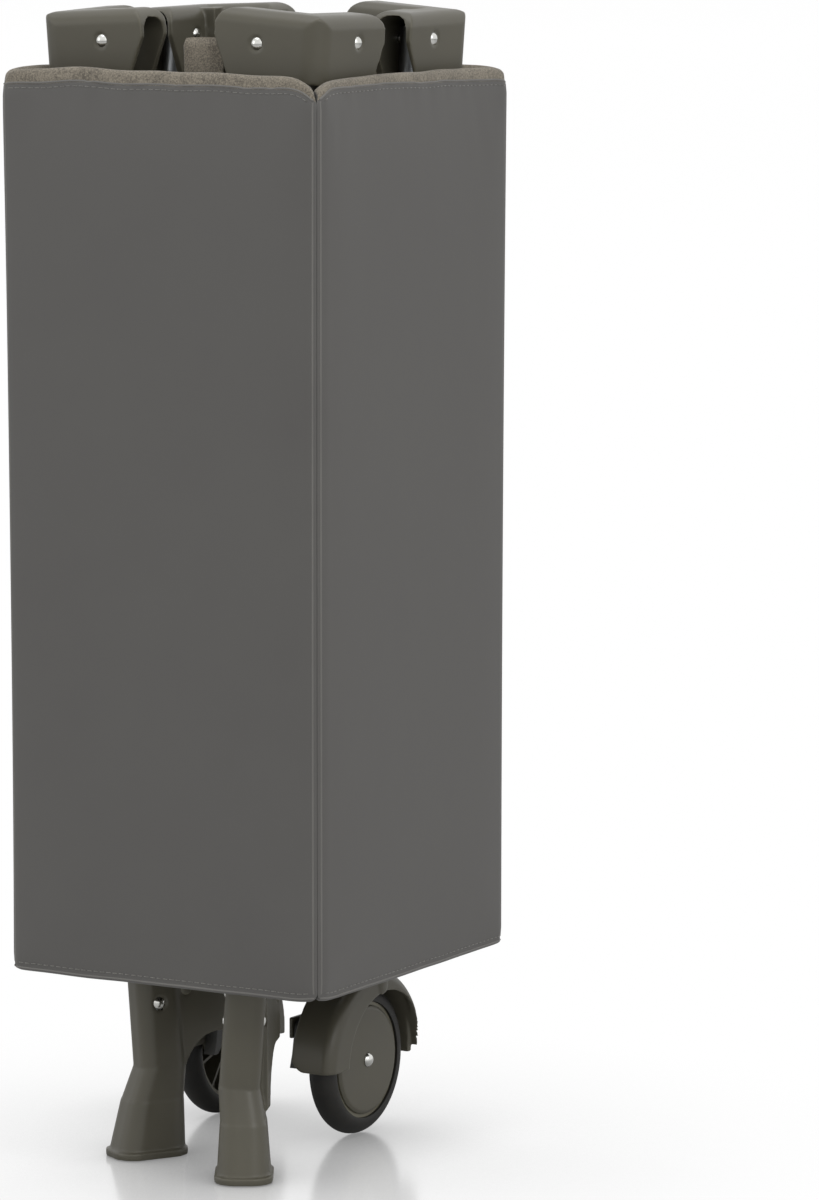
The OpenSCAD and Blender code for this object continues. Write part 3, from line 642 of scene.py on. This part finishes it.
@dataclass
class PaddedPanel:
    """One board-stiffened panel of the mattress, standing in the wrap.

    It is drawn for the front side, s along the side and d inwards from the outer face, and turned
    to its own side by quarter turns.
    """

    name: str
    body: str
    node: str
    quarter: int
    first: float
    last: float
    seed: float
    wrap: Wrap
    ends: Ends
    under_top: float = 8 * MM
    band: float = 11 * MM
    step: float = 4.5 * MM
    layers: int = 12
    hem: float = 2.5 * MM
    lip: float = 3 * MM
    pulled: tuple[float, float] = (0.6 * MM, 2.2 * MM)
    pulled_along: float = 55 * MM

    def __post_init__(self) -> None:
        """Works out the grid's counts and which ends lie at a corner of the wrap."""
        self.inner = self.wrap.width / 2 - self.wrap.thick
        self.at_corner = (self.first < -self.inner, self.last > self.inner)
        self.columns = max(12, round((self.last - self.first) / self.step))
        self.rows = round((self.wrap.high - self.wrap.low) / (self.step * 1.15))
        self.piece: bpy.types.Object | None = None

    def near_ends(self, s: np.ndarray) -> tuple[np.ndarray, np.ndarray]:
        """Returns the distances of s from the first and the last seam."""
        return np.maximum(s - self.first, 0), np.maximum(self.last - s, 0)

    def wall_in(self, s: np.ndarray) -> np.ndarray:
        """Returns how far the outer face lies inwards at s, round the edge towards each seam."""
        reach = self.wrap.seam_in
        turn = np.clip((reach - np.minimum(*self.near_ends(s))) / reach, 0, 1)
        return reach * (1 - np.sqrt(np.clip(1 - turn**2, 0, 1)))

    def waves(self, s: np.ndarray, length: float, seed: float) -> np.ndarray:
        """Returns uneven waves of about a length along s."""
        return np.array([wander(v / length, seed) for v in np.ravel(s)]).reshape(np.shape(s))

    def edge_drop(self, s: np.ndarray) -> np.ndarray:
        """Returns how far the upper edge of the vinyl lies below its level line at s."""
        notch, slope, slope_along = 9 * MM, 1.2 * MM, 60 * MM
        drop = 0.8 * MM * self.waves(s, 34 * MM, self.seed)
        for near, dip in zip(self.near_ends(s), self.ends.dip):
            drop = drop + dip * np.exp(-((near / notch) ** 1.6))
            drop = drop + slope * np.clip(1 - near / slope_along, 0, 1)
        return drop

    def corner_push(self, s: np.ndarray, z: np.ndarray) -> tuple[np.ndarray, np.ndarray]:
        """Returns how far the corners are pulled out at s and z, along the side and outwards."""
        rise = np.clip((z - self.wrap.low) / (self.wrap.high - self.wrap.low), 0, 1.1)
        pull = self.pulled[0] + self.pulled[1] * rise**2
        along = np.zeros(np.shape(s))
        out = np.zeros(np.shape(s))
        for near, corner, sign in zip(self.near_ends(s), self.at_corner, (-1, 1)):
            if corner:
                share = np.clip(1 - near / self.pulled_along, 0, 1) ** 2
                along = along + sign * pull * share
                out = out + pull * share
        return along, out

    def shape(self, a: np.ndarray, b: np.ndarray, c: np.ndarray) -> np.ndarray:
        """Maps box coordinates from 0 to 1 onto the panel.

        Args:
            a: Along the side, from the first seam to the last.
            b: Inwards, from the outer face to the inner one.
            c: Upwards.

        Returns:
            Positions on the front side.
        """
        wrap = self.wrap
        on_face, at_foot, at_top = b < 0.0001, c < 0.0001, np.clip((c - 0.9999) * 1e5, 0, 1)
        mitre = wrap.seam - self.inner
        s_out = self.first + a * (self.last - self.first)
        d_out = self.wall_in(s_out)
        first_in = self.first + (mitre if self.at_corner[0] else 0)
        last_in = self.last - (mitre if self.at_corner[1] else 0)
        s = s_out + (first_in + a * (last_in - first_in) - s_out) * b
        d = d_out + (wrap.thick - d_out) * b
        share = np.clip((s - self.first) / (self.last - self.first), 0, 1)
        ends = (self.ends.sag, self.ends.lift, self.ends.band)
        sag, lift, whole = (first + (last - first) * share for first, last in ends)
        top = wrap.high - self.under_top + lift - self.edge_drop(s)
        bottom = wrap.low + self.hem - sag + 0.25 * self.edge_drop(s)
        z = bottom + (top - bottom) * c
        full = whole
        for near, left in zip(self.near_ends(s), self.ends.band_left):
            full = full * (1 - (1 - left) * np.exp(-((near / (14 * MM)) ** 1.5)))
        # the band's section: a groove behind the vinyl's edge, a steep wall, a round crest, the inner slope
        at = (0, 0.018, 0.07, 0.15, 0.27, 0.42, 0.6, 0.8, 1)
        rise = (0, -0.13, 0.3, 0.66, 0.92, 1.0, 0.9, 0.55, 0)
        inset = (0, 0.9, 0.55, -0.55, -0.3, 0, 0, 0, 0)
        z = z + at_top * self.band * full * np.interp(b, at, rise)
        d = d + at_top * MM * np.interp(b, at, inset)
        roll = np.sqrt(np.clip(1 - (2 * b - 1) ** 2, 0, 1))
        z = np.where(at_foot, z - self.hem * roll, z)
        for edge in (np.abs(z - top), np.abs(z - bottom)):
            turn = np.clip(1 - edge / self.lip, 0, 1)
            d = np.where(on_face, d + 1.1 * MM * turn**2, d)
        near = np.minimum(*self.near_ends(s))
        pucker = self.waves(s, 8.5 * MM, self.seed + 3)
        fade = np.exp(-np.clip(top - z, 0, 1) / (11 * MM)) * np.clip(near / (10 * MM), 0, 1)
        d = np.where(on_face, d - 0.55 * MM * pucker * fade, d)
        along, out = self.corner_push(s_out, z)
        return np.column_stack([s + along, d - out - wrap.width / 2, z])

    def turned(self, points: np.ndarray) -> np.ndarray:
        """Turns points of the front side to the panel's own side of the wrap."""
        out = points.copy()
        for _ in range(self.quarter % 4):
            out = np.column_stack([-out[:, 1], out[:, 0], out[:, 2]])
        return out + (0, self.wrap.middle, 0)

    def build(self, finishes: Finishes) -> bpy.types.Object:
        """Builds the panel's closed form on the front side.

        Args:
            finishes: The materials.

        Returns:
            The piece, not yet turned or swollen.
        """
        counts = (self.columns, self.layers, self.rows)
        index: dict[tuple[int, int, int], int] = {}
        faces: list = []
        regions: list[int] = []

        def corner(i: int, j: int, k: int) -> int:
            """Returns the number of a grid corner."""
            return index.setdefault((i, j, k), len(index))

        for axis in range(3):
            u, v = [x for x in range(3) if x != axis]
            for end in (0, counts[axis]):
                for p in range(counts[u]):
                    for q in range(counts[v]):
                        loop = []
                        for dp, dq in ((0, 0), (1, 0), (1, 1), (0, 1)):
                            at = [0, 0, 0]
                            at[axis], at[u], at[v] = end, p + dp, q + dq
                            loop.append(corner(*at))
                        faces.append(loop)
                        regions.append(0 if axis == 0 or end == 0 else 1)
        grid = np.array(list(index), dtype=float) / counts
        depth = 0.5 - 0.5 * np.cos(np.pi * grid[:, 1])
        points = self.shape(grid[:, 0], depth, grid[:, 2])
        piece = mesh_object(self.name, points, faces)
        piece.data.materials.append(finishes.vinyl)
        piece.data.materials.append(finishes.cloth)
        piece.data.polygons.foreach_set("material_index", regions)
        outward(piece)
        held = (grid[:, 0] < 0.02) | (grid[:, 0] > 0.98) | (grid[:, 2] < 0.001) | (grid[:, 2] > 0.999)
        held |= (grid[:, 1] > 0.001) & (grid[:, 1] < 0.999)
        group = piece.vertex_groups.new(name="held")
        group.add([int(i) for i in np.flatnonzero(held)], 1.0, "REPLACE")
        self.grid = grid
        self.piece = piece
        return piece

    def swell(self) -> np.ndarray:
        """Lets the filling push the cover out, as a short cloth simulation.

        Returns:
            How far each vertex moved, capped.
        """
        piece = self.piece
        before = coordinates(piece.data)
        scene = bpy.context.scene
        moments = 20
        cloth = piece.modifiers.new("fill", "CLOTH")
        cloth.settings.use_pressure = True
        cloth.settings.uniform_pressure_force = 4.0
        cloth.settings.effector_weights.gravity = 0.0
        cloth.settings.vertex_group_mass = "held"
        cloth.settings.quality = 5
        cloth.settings.tension_stiffness = 25
        cloth.settings.compression_stiffness = 25
        cloth.settings.bending_stiffness = 2.0
        cloth.point_cache.frame_start = 1
        cloth.point_cache.frame_end = moments
        for moment in range(1, moments + 1):
            scene.frame_set(moment)
        graph = bpy.context.evaluated_depsgraph_get()
        swollen = bpy.data.meshes.new_from_object(piece.evaluated_get(graph))
        move = coordinates(swollen) - before
        bpy.data.meshes.remove(swollen)
        piece.modifiers.clear()
        scene.frame_set(1)
        out, back, aside = 3.6 * MM, 1.3 * MM, 0.6 * MM
        move[:, [0, 2]] = np.clip(move[:, [0, 2]], -aside, aside)
        move[:, 1] = np.where(
            move[:, 1] < 0, -out * np.tanh(-move[:, 1] / out), back * np.tanh(move[:, 1] / back)
        )
        log.info("%s swelled by %.1f mm", self.name, np.abs(move).max() / MM)
        return move

    def finish(self, move: np.ndarray) -> bpy.types.Object:
        """Args:
            move: How far each vertex moves on the front side.

        Returns:
            The finished piece.
        """
        piece = self.piece
        points = coordinates(piece.data) + move
        place(piece.data, self.turned(points))
        piece.vertex_groups.clear()
        finer = piece.modifiers.new("finer", "SUBSURF")
        finer.levels = finer.render_levels = 1
        settle(piece)
        piece.data.shade_smooth()
        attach(piece, self.body)
        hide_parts(self.node)
        return piece

    def edge_line(self, upper: bool, count: int, off_edge: float = 0.0) -> np.ndarray:
        """Returns points along the vinyl's upper or lower edge.

        Args:
            upper: Whether it is the upper edge.
            count: How many points.
            off_edge: How far the line lies from the edge, towards the middle of the panel.

        Returns:
            The points, turned to the panel's side.
        """
        short = 0.03 if off_edge else 0.006
        a = np.linspace(short, 1 - short, count)
        line = self.shape(a, np.zeros(count), np.full(count, 0.9998 if upper else 0.0002))
        line[:, 2] += off_edge * (-1 if upper else 1)
        return self.sewn_on(self.turned(line), 0.1 * MM if off_edge else -0.2 * MM)

    def seam_line(self, last: bool, count: int) -> np.ndarray:
        """Returns points up the vinyl's edge beside the first or the last seam."""
        beside = 1.5 * MM / (self.last - self.first)
        a = np.full(count, 1 - beside if last else beside)
        line = self.shape(a, np.zeros(count), np.linspace(0.004, 0.998, count))
        return self.sewn_on(self.turned(line), -0.35 * MM)

    def sewn_on(self, points: np.ndarray, above: float) -> np.ndarray:
        """Moves points onto the finished cover, above it by a distance that may be negative."""
        laid = []
        for point in points:
            _, at, normal, _ = self.piece.closest_point_on_mesh(Vector(point))
            laid.append(at + above * normal)
        return np.array(laid)


@dataclass
class Trim:
    """Piping and stitches that follow a line, made with Geometry Nodes."""

    finishes: Finishes

    def path(self, name: str, points: np.ndarray) -> bpy.types.Object:
        """Makes an open poly curve object through points."""
        data = bpy.data.curves.new(name, "CURVE")
        data.dimensions = "3D"
        line = data.splines.new("POLY")
        line.points.add(len(points) - 1)
        for at, p in zip(line.points, points):
            at.co = (*p, 1.0)
        made = bpy.data.objects.new(name, data)
        bpy.context.scene.collection.objects.link(made)
        return made

    def tree(self, name: str, wanted: dict[str, float]) -> bpy.types.NodeTree:
        """Makes a Geometry Nodes tree with named float inputs.

        Args:
            name: The tree's name.
            wanted: The inputs' names and values.

        Returns:
            The tree, with its input and output nodes.
        """
        made = bpy.data.node_groups.new(name, "GeometryNodeTree")
        made.interface.new_socket("Geometry", in_out="INPUT", socket_type="NodeSocketGeometry")
        made.interface.new_socket("Geometry", in_out="OUTPUT", socket_type="NodeSocketGeometry")
        for label, value in wanted.items():
            socket = made.interface.new_socket(label, in_out="INPUT", socket_type="NodeSocketFloat")
            socket.default_value = value
        return made

    def run(
        self, piece: bpy.types.Object, tree: bpy.types.NodeTree, values: dict[str, float]
    ) -> bpy.types.Object:
        """Runs a tree on a curve and keeps the result as a plain mesh object.

        Args:
            piece: The curve object, which is removed.
            tree: The tree.
            values: Values for its named inputs.

        Returns:
            The mesh object.
        """
        modifier = piece.modifiers.new("follow", "NODES")
        modifier.node_group = tree
        for item in tree.interface.items_tree:
            if item.in_out == "INPUT" and item.name in values:
                modifier[item.identifier] = values[item.name]
        bpy.context.view_layer.update()
        graph = bpy.context.evaluated_depsgraph_get()
        mesh = bpy.data.meshes.new_from_object(piece.evaluated_get(graph))
        name = piece.name
        bpy.data.objects.remove(piece)
        made = bpy.data.objects.new(name, mesh)
        bpy.context.scene.collection.objects.link(made)
        return made

    def finished(
        self, tree: bpy.types.NodeTree, geometry: bpy.types.NodeSocket, material: bpy.types.Material
    ) -> bpy.types.NodeTree:
        """Gives a tree's geometry its material and sends it out."""
        done = add(tree, "GeometryNodeSetMaterial", inputs={"Geometry": geometry, "Material": material})
        add(tree, "NodeGroupOutput", inputs={0: done.outputs[0]})
        return tree

    def piping_tree(self) -> bpy.types.NodeTree:
        """Builds the tree that lays a round bead along a line, in the piping grey that is painted lighter
        than the vinyl as a highlight.
        """
        tree = self.tree("bead_along_line", {"Radius": 0.0012})
        start = add(tree, "NodeGroupInput")
        ring = add(
            tree,
            "GeometryNodeCurvePrimitiveCircle",
            inputs={"Resolution": 8, "Radius": start.outputs["Radius"]},
        )
        tube = add(
            tree,
            "GeometryNodeCurveToMesh",
            inputs={"Curve": start.outputs["Geometry"], "Profile Curve": ring.outputs[0], "Fill Caps": True},
        )
        smooth = add(tree, "GeometryNodeSetShadeSmooth", inputs={0: tube.outputs[0]})
        real = add(tree, "GeometryNodeRealizeInstances", inputs={0: smooth.outputs[0]})
        return self.finished(tree, real.outputs[0], self.finishes.piping_painted_highlight)

    def stitch_tree(self) -> bpy.types.NodeTree:
        """Builds the tree that lays a row of stitches along a line."""
        tree = self.tree("stitches_along_line", {"Pitch": 0.005, "Length": 0.0034, "Radius": 0.0003})
        start = add(tree, "NodeGroupInput")
        spots = add(
            tree,
            "GeometryNodeCurveToPoints",
            {"mode": "LENGTH"},
            {"Curve": start.outputs["Geometry"], "Length": start.outputs["Pitch"]},
        )
        stitch = add(
            tree,
            "GeometryNodeMeshCylinder",
            inputs={
                "Vertices": 6,
                "Side Segments": 1,
                "Radius": start.outputs["Radius"],
                "Depth": start.outputs["Length"],
            },
        )
        along = add(
            tree,
            "FunctionNodeAlignEulerToVector",
            {"axis": "Z"},
            {"Vector": spots.outputs["Tangent"]},
        )
        rows = add(
            tree,
            "GeometryNodeInstanceOnPoints",
            inputs={
                "Points": spots.outputs["Points"],
                "Instance": stitch.outputs["Mesh"],
                "Rotation": along.outputs[0],
            },
        )
        real = add(tree, "GeometryNodeRealizeInstances", inputs={0: rows.outputs[0]})
        smooth = add(tree, "GeometryNodeSetShadeSmooth", inputs={0: real.outputs[0]})
        return self.finished(tree, smooth.outputs[0], self.finishes.thread)


@dataclass
class Mattress:
    """The mattress: three full panels and two flaps that close over the left side."""

    finishes: Finishes
    wrap: Wrap

    def panels(self) -> list[PaddedPanel]:
        """Returns the five panels, unbuilt."""
        gap = 0.1 * MM
        seam = self.wrap.seam - gap
        low, half, level = 3 * MM, 1.5 * MM, 0.0
        shallow, deep = 1.2 * MM, 7 * MM
        front = Ends((low, low), (shallow, deep), (0.85, 0.5), (2.6 * MM, 2 * MM), (0.9, 0.74))
        right = Ends((low, level), (deep, shallow), (0.6, 0.85), (2.4 * MM, 0.5 * MM), (0.44, 0.84))
        rear = Ends((level, level))
        flap_rear = Ends((level, half))
        flap_front = Ends((half, low), lift=(0.5 * MM, 2.6 * MM))
        return [
            PaddedPanel(
                f"mattress_{node}.padded", f"mattress_{body}", f"mattress_{node}", *place_of, self.wrap, ends
            )
            for node, body, *place_of, ends in (
                ("front", "front_panel", 0, -seam, seam, 1.0, front),
                ("right", "right_panel", 1, -seam, seam, 7.3, right),
                ("rear", "rear_panel", 2, -seam, seam, 12.9, rear),
                ("flap_rear", "rear_flap", 3, -seam, -4 * gap, 21.1, flap_rear),
                ("flap_front", "front_flap", 3, 4 * gap, seam, 33.7, flap_front),
            )
        ]

    def build(self) -> None:
        """Builds the panels with their piping, stitches and straps."""
        trim = Trim(self.finishes)
        bead, stitches = trim.piping_tree(), trim.stitch_tree()
        moves: dict[int, np.ndarray] = {}
        made = []
        for panel in self.panels():
            panel.build(self.finishes)
            key = panel.columns
            if key not in moves:
                moves[key] = panel.swell()
            move = moves[key]
            if panel.node == "mattress_flap_front":
                # the front flap is the rear one's mirror image, so its push is taken from there
                swap = {tuple(np.round(g, 6)): i for i, g in enumerate(panel.grid)}
                order = [swap[tuple(np.round((1 - g[0], g[1], g[2]), 6))] for g in panel.grid]
                move = move[order] * (-1, 1, 1)
            made.append(panel.finish(move))
            for upper, label in ((True, "upper"), (False, "lower")):
                edge = panel.edge_line(upper, 140)
                self.lay(trim, panel, f"piping_{label}", edge, bead, 0.8 * MM if upper else 0.7 * MM)
                sewn = panel.edge_line(upper, 140, 3.6 * MM)
                self.lay(trim, panel, f"stitches_{label}", sewn, stitches, None)
            for last, label in ((False, "first"), (True, "last")):
                self.lay(trim, panel, f"piping_{label}", panel.seam_line(last, 90), bead, 0.75 * MM)
            log.info("%s built", panel.name)
        self.straps(made[3], made[4])

    def lay(
        self,
        trim: Trim,
        panel: PaddedPanel,
        label: str,
        line: np.ndarray,
        tree: bpy.types.NodeTree,
        radius: float | None,
    ) -> None:
        """Lays a bead or a row of stitches along a line of a panel.

        Args:
            trim: The maker of trims.
            panel: The panel that it is sewn to.
            label: What the piece is called after the panel's node.
            line: The line's points.
            tree: The tree that makes it.
            radius: The bead's radius, or None for the tree's own sizes.
        """
        values = {} if radius is None else {"Radius": radius}
        piece = trim.run(trim.path(f"{panel.node}.{label}", line), tree, values)
        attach(piece, panel.body)

    def straps(self, rear: bpy.types.Object, front: bpy.types.Object) -> None:
        """Lays the two closing straps over the left side's flaps.

        Args:
            rear: The rear flap, which the straps are sewn to.
            front: The front flap, which they hold.
        """
        low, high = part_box("mattress_straps")
        trees = []
        for flap in (rear, front):
            work = bmesh.new()
            work.from_mesh(flap.data)
            trees.append(BVHTree.FromBMesh(work))
            work.free()
        height, thick, clear = 25 * MM, 1.2 * MM, 0.15 * MM
        columns, rows = 36, 8
        points: list[Vector] = []
        faces: list = []
        for base in (low.z, high.z - height):
            for layer in (0, 1):
                for i in range(columns + 1):
                    y = low.y + (high.y - low.y) * i / columns
                    for j in range(rows + 1):
                        z = base + height * j / rows
                        out = -self.wrap.width / 2
                        for tree in trees:
                            hit = tree.ray_cast(Vector((-0.2, y, z)), Vector((1, 0, 0)))[0]
                            if hit is not None:
                                out = min(out, hit.x)
                        points.append(Vector((out - clear - thick * layer, y, z)))
            start = len(points) - 2 * (columns + 1) * (rows + 1)
            one = (columns + 1) * (rows + 1)

            def at(layer: int, i: int, j: int) -> int:
                """Returns a strap corner's number."""
                return start + layer * one + i * (rows + 1) + j

            for i in range(columns):
                for j in range(rows):
                    for layer in (0, 1):
                        square = ((i, j), (i + 1, j), (i + 1, j + 1), (i, j + 1))
                        faces.append([at(layer, *corner) for corner in square])
                for j in (0, rows):
                    faces.append([at(0, i, j), at(0, i + 1, j), at(1, i + 1, j), at(1, i, j)])
            for j in range(rows):
                for i in (0, columns):
                    faces.append([at(0, i, j), at(0, i, j + 1), at(1, i, j + 1), at(1, i, j)])
        piece = mesh_object("mattress_straps.woven", np.array(points), faces)
        outward(piece)
        relax = piece.modifiers.new("relax", "SMOOTH")
        relax.factor = 0.4
        relax.iterations = 2
        settle(piece)
        piece.data.shade_smooth()
        piece.data.materials.append(self.finishes.webbing)
        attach(piece, "mattress_rear_flap")
        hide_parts("mattress_straps")
        log.info("straps built")


# ---- Gathered side walls ----


@dataclass
class GatheredWall:
    """One side wall of cloth, gathered in close folds between its side's rails."""

    side: str
    body: str
    flat: tuple[float, float]
    seed: float
    depth: float = 20 * MM
    rows: int = 44
    across: int = 8

    def fold(self, run: int, share: float, runs: int, t: float) -> tuple[float, float, float]:
        """Works out where the folded sheet goes at one point.

        Args:
            run: Which run from side to side the point is on.
            share: How far along that run it is, from 0 to 1.
            runs: How many runs there are.
            t: The height, from 0 at the foot to 1 at the top.

        Returns:
            The place from side to side from about -1 to 1, the place through the folds, and the dip.
        """
        sweep = math.cos(math.pi * (run + share))
        swing = math.copysign(abs(sweep) ** 0.55, sweep)
        fold = (run + share) / runs - 0.5
        ripple = 0.9 * MM * wander(8 * fold + 3.1 * t, self.seed)
        ripple += 0.7 * MM * wander(11 * t + 2 * share, self.seed + 5)
        edge = 1 - 0.05 * abs(wander(run * 0.8, self.seed + 9)) - 0.03 * abs(wander(5 * t, run + self.seed))
        thick = fold * (self.depth - 2.4 * MM) + ripple * (1 - abs(2 * fold) ** 3)
        dip = 1.2 * MM * abs(wander(run * 0.7, self.seed + 2)) * t
        return swing * edge, thick, dip

    def build(self, finishes: Finishes) -> bpy.types.Object:
        """Builds the wall as one folded sheet inside its packed outline.

        Args:
            finishes: The materials.

        Returns:
            The piece.
        """
        node = f"wall_fabric_{self.side}"
        low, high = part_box(node)
        along = 0 if self.side in ("front", "rear") else 1
        wide = (high - low)[along]
        middle = (low + high) / 2
        points = coordinates(frame["nodes"][node].data)
        # the outline narrows downwards, so its foot's width comes from its lowest corners
        foot = points[points[:, 2] < low.z + 1 * MM][:, along]
        narrow = foot.max() - foot.min()
        shift = (foot.max() + foot.min()) / 2 - middle[along]
        run_area = (high.z - low.z) * 0.9 * (wide + narrow) / 2
        runs = round(0.78 * self.flat[0] * self.flat[1] / run_area)
        total = runs * self.across
        grid = []
        for t in np.linspace(0, 1, self.rows + 1):
            z = low.z + (high.z - low.z) * t
            shoulder = np.sqrt(max(0.0, 1 - max(0.0, (t - 0.985) / 0.015) ** 2))
            half = (narrow + (wide - narrow) * t) / 2 * (0.86 + 0.14 * shoulder)
            for k in range(total + 1):
                run, part = divmod(k, self.across)
                swing, thick, dip = self.fold(run, part / self.across, runs, t)
                at = [middle.x, middle.y, z - dip]
                at[along] += (half - 0.6 * MM) * swing + shift * (1 - t)
                at[1 - along] += thick
                grid.append(at)
        line = total + 1
        faces = [
            [r * line + k, r * line + k + 1, (r + 1) * line + k + 1, (r + 1) * line + k]
            for r in range(self.rows)
            for k in range(total)
        ]
        piece = mesh_object(f"{node}.gathered", np.array(grid), faces)
        body = piece.modifiers.new("cloth", "SOLIDIFY")
        body.thickness = 0.22 * MM
        body.offset = 0.0
        settle(piece)
        piece.data.shade_smooth()
        piece.data.materials.append(finishes.cloth)
        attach(piece, self.body)
        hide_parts(node)
        area = sum(p.area for p in piece.data.polygons) / 2
        log.info("%s: %.3f square metres of cloth for a cut of %.3f", node, area, self.flat[0] * self.flat[1])
        return piece


# ---- Studio ----


@dataclass
class Studio:
    """Camera, soft lamps and the pale floor."""

    eye: tuple[float, float, float] = (2.1781, -3.4727, 0.9020)
    pitch_down: float = 7.215
    heading: float = 30.744
    roll: float = 0.0
    lens_mm: float = 179.49
    sensor_mm: float = 36.0
    fill: float = 0.48
    floor_half: float = 30.0
    floor_level: float = -0.5 * MM
    shadow_near: float = 0.11
    shadow_far: float = 0.35

    def camera(self) -> None:
        """Sets the camera up."""
        data = bpy.data.cameras.new("camera")
        data.sensor_fit = "VERTICAL"
        data.sensor_height = self.sensor_mm
        data.lens = self.lens_mm
        data.clip_end = 60
        made = bpy.data.objects.new("camera", data)
        made.location = self.eye
        made.rotation_euler = (
            math.radians(90 - self.pitch_down),
            math.radians(self.roll),
            math.radians(self.heading),
        )
        bpy.context.scene.collection.objects.link(made)
        bpy.context.scene.camera = made

    def lamp(self, name: str, at: tuple, size: float, watts: float, aim: tuple = (0, 0, 0.45)) -> None:
        """Adds a soft square lamp aimed at a point.

        Args:
            name: The lamp's name.
            at: Its place.
            size: Its side length.
            watts: Its power.
            aim: Where it points.
        """
        data = bpy.data.lights.new(name, "AREA")
        data.shape = "SQUARE"
        data.size = size
        data.energy = watts
        made = bpy.data.objects.new(name, data)
        made.location = at
        made.rotation_euler = (Vector(aim) - Vector(at)).to_track_quat("-Z", "Y").to_euler()
        bpy.context.scene.collection.objects.link(made)

    def world(self) -> None:
        """Gives the world an even pale light, and white where the camera or a gloss sees it."""
        world = bpy.data.worlds.new("studio")
        bpy.context.scene.world = world
        world.use_nodes = True
        tree = world.node_tree
        tree.nodes.clear()
        ray = add(tree, "ShaderNodeLightPath")
        through = add(
            tree,
            "ShaderNodeMath",
            {"operation": "MAXIMUM"},
            {0: ray.outputs["Is Camera Ray"], 1: ray.outputs["Is Transmission Ray"]},
        )
        seen = add(
            tree,
            "ShaderNodeMath",
            {"operation": "MAXIMUM"},
            {0: through.outputs[0], 1: ray.outputs["Is Glossy Ray"]},
        )
        strength = add(
            tree, "ShaderNodeMix", {"data_type": "FLOAT"}, {0: seen.outputs[0], 2: self.fill, 3: 1.0}
        ).outputs[0]
        back = add(tree, "ShaderNodeBackground", inputs={"Color": (1, 1, 1, 1), "Strength": strength})
        add(tree, "ShaderNodeOutputWorld", inputs={"Surface": back.outputs[0]})

    def floor(self) -> None:
        """Lays a white satin floor that keeps contact shadows and a faint mirror of the feet."""
        half, level = self.floor_half, self.floor_level
        corners = [(-half, -half, level), (half, -half, level), (half, half, level), (-half, half, level)]
        floor = mesh_object("floor", np.array(corners), [[0, 1, 2, 3]])
        made = bpy.data.materials.new("white_acrylic_floor")
        made.use_nodes = True
        tree = made.node_tree
        tree.nodes.clear()
        ray = add(tree, "ShaderNodeLightPath")
        near, far = (
            add(tree, "ShaderNodeAmbientOcclusion", {"samples": 12}, {"Distance": reach}).outputs["AO"]
            for reach in (self.shadow_near, self.shadow_far)
        )
        share = add(tree, "ShaderNodeMath", {"operation": "MULTIPLY"}, {0: near, 1: far}).outputs[0]
        open_to_light = add(tree, "ShaderNodeMapRange", inputs={0: share, 1: 0.1, 2: 0.95, 3: 0.35, 4: 1.0})
        glow = add(
            tree,
            "ShaderNodeEmission",
            inputs={"Color": (1, 1, 1, 1), "Strength": open_to_light.outputs[0]},
        )
        gloss = add(tree, "ShaderNodeBsdfGlossy", inputs={"Color": (1, 1, 1, 1), "Roughness": 0.17})
        seen = add(tree, "ShaderNodeMixShader", inputs={0: 0.3, 1: glow.outputs[0], 2: gloss.outputs[0]})
        plain = add(tree, "ShaderNodeBsdfDiffuse", inputs={"Color": (0.8, 0.8, 0.8, 1)})
        done = add(
            tree,
            "ShaderNodeMixShader",
            inputs={0: ray.outputs["Is Camera Ray"], 1: plain.outputs[0], 2: seen.outputs[0]},
        )
        add(tree, "ShaderNodeOutputMaterial", inputs={"Surface": done.outputs[0]})
        floor.data.materials.append(made)

    def build(self) -> None:
        """Builds the studio."""
        bpy.context.scene.view_settings.view_transform = "Standard"
        self.camera()
        self.world()
        self.floor()
        self.lamp("key", (2.6, -1.2, 2.2), 1.8, 26)
        self.lamp("top", (-0.3, -0.4, 3.0), 2.0, 17)
        self.lamp("left", (-2.6, -2.2, 1.5), 1.8, 9)


def main() -> None:
    """Builds the playpen's looks in order."""
    logging.basicConfig(level=logging.INFO, format="%(message)s")
    Studio().build()
    finishes = Finishes()
    mouldings = Mouldings(finishes)
    mouldings.dress_rest()
    mouldings.build()
    Mattress(finishes, Wrap.packed()).build()
    for side, body, flat, seed in (
        ("front", "front_right_post", (0.57, 0.56), 2.0),
        ("rear", "rear_right_post", (0.57, 0.56), 14.0),
        ("left", "front_left_post", (0.93, 0.56), 25.0),
        ("right", "front_right_post", (0.93, 0.56), 31.0),
    ):
        GatheredWall(side, body, flat, seed).build(finishes)


if __name__ == "__main__":
    main()
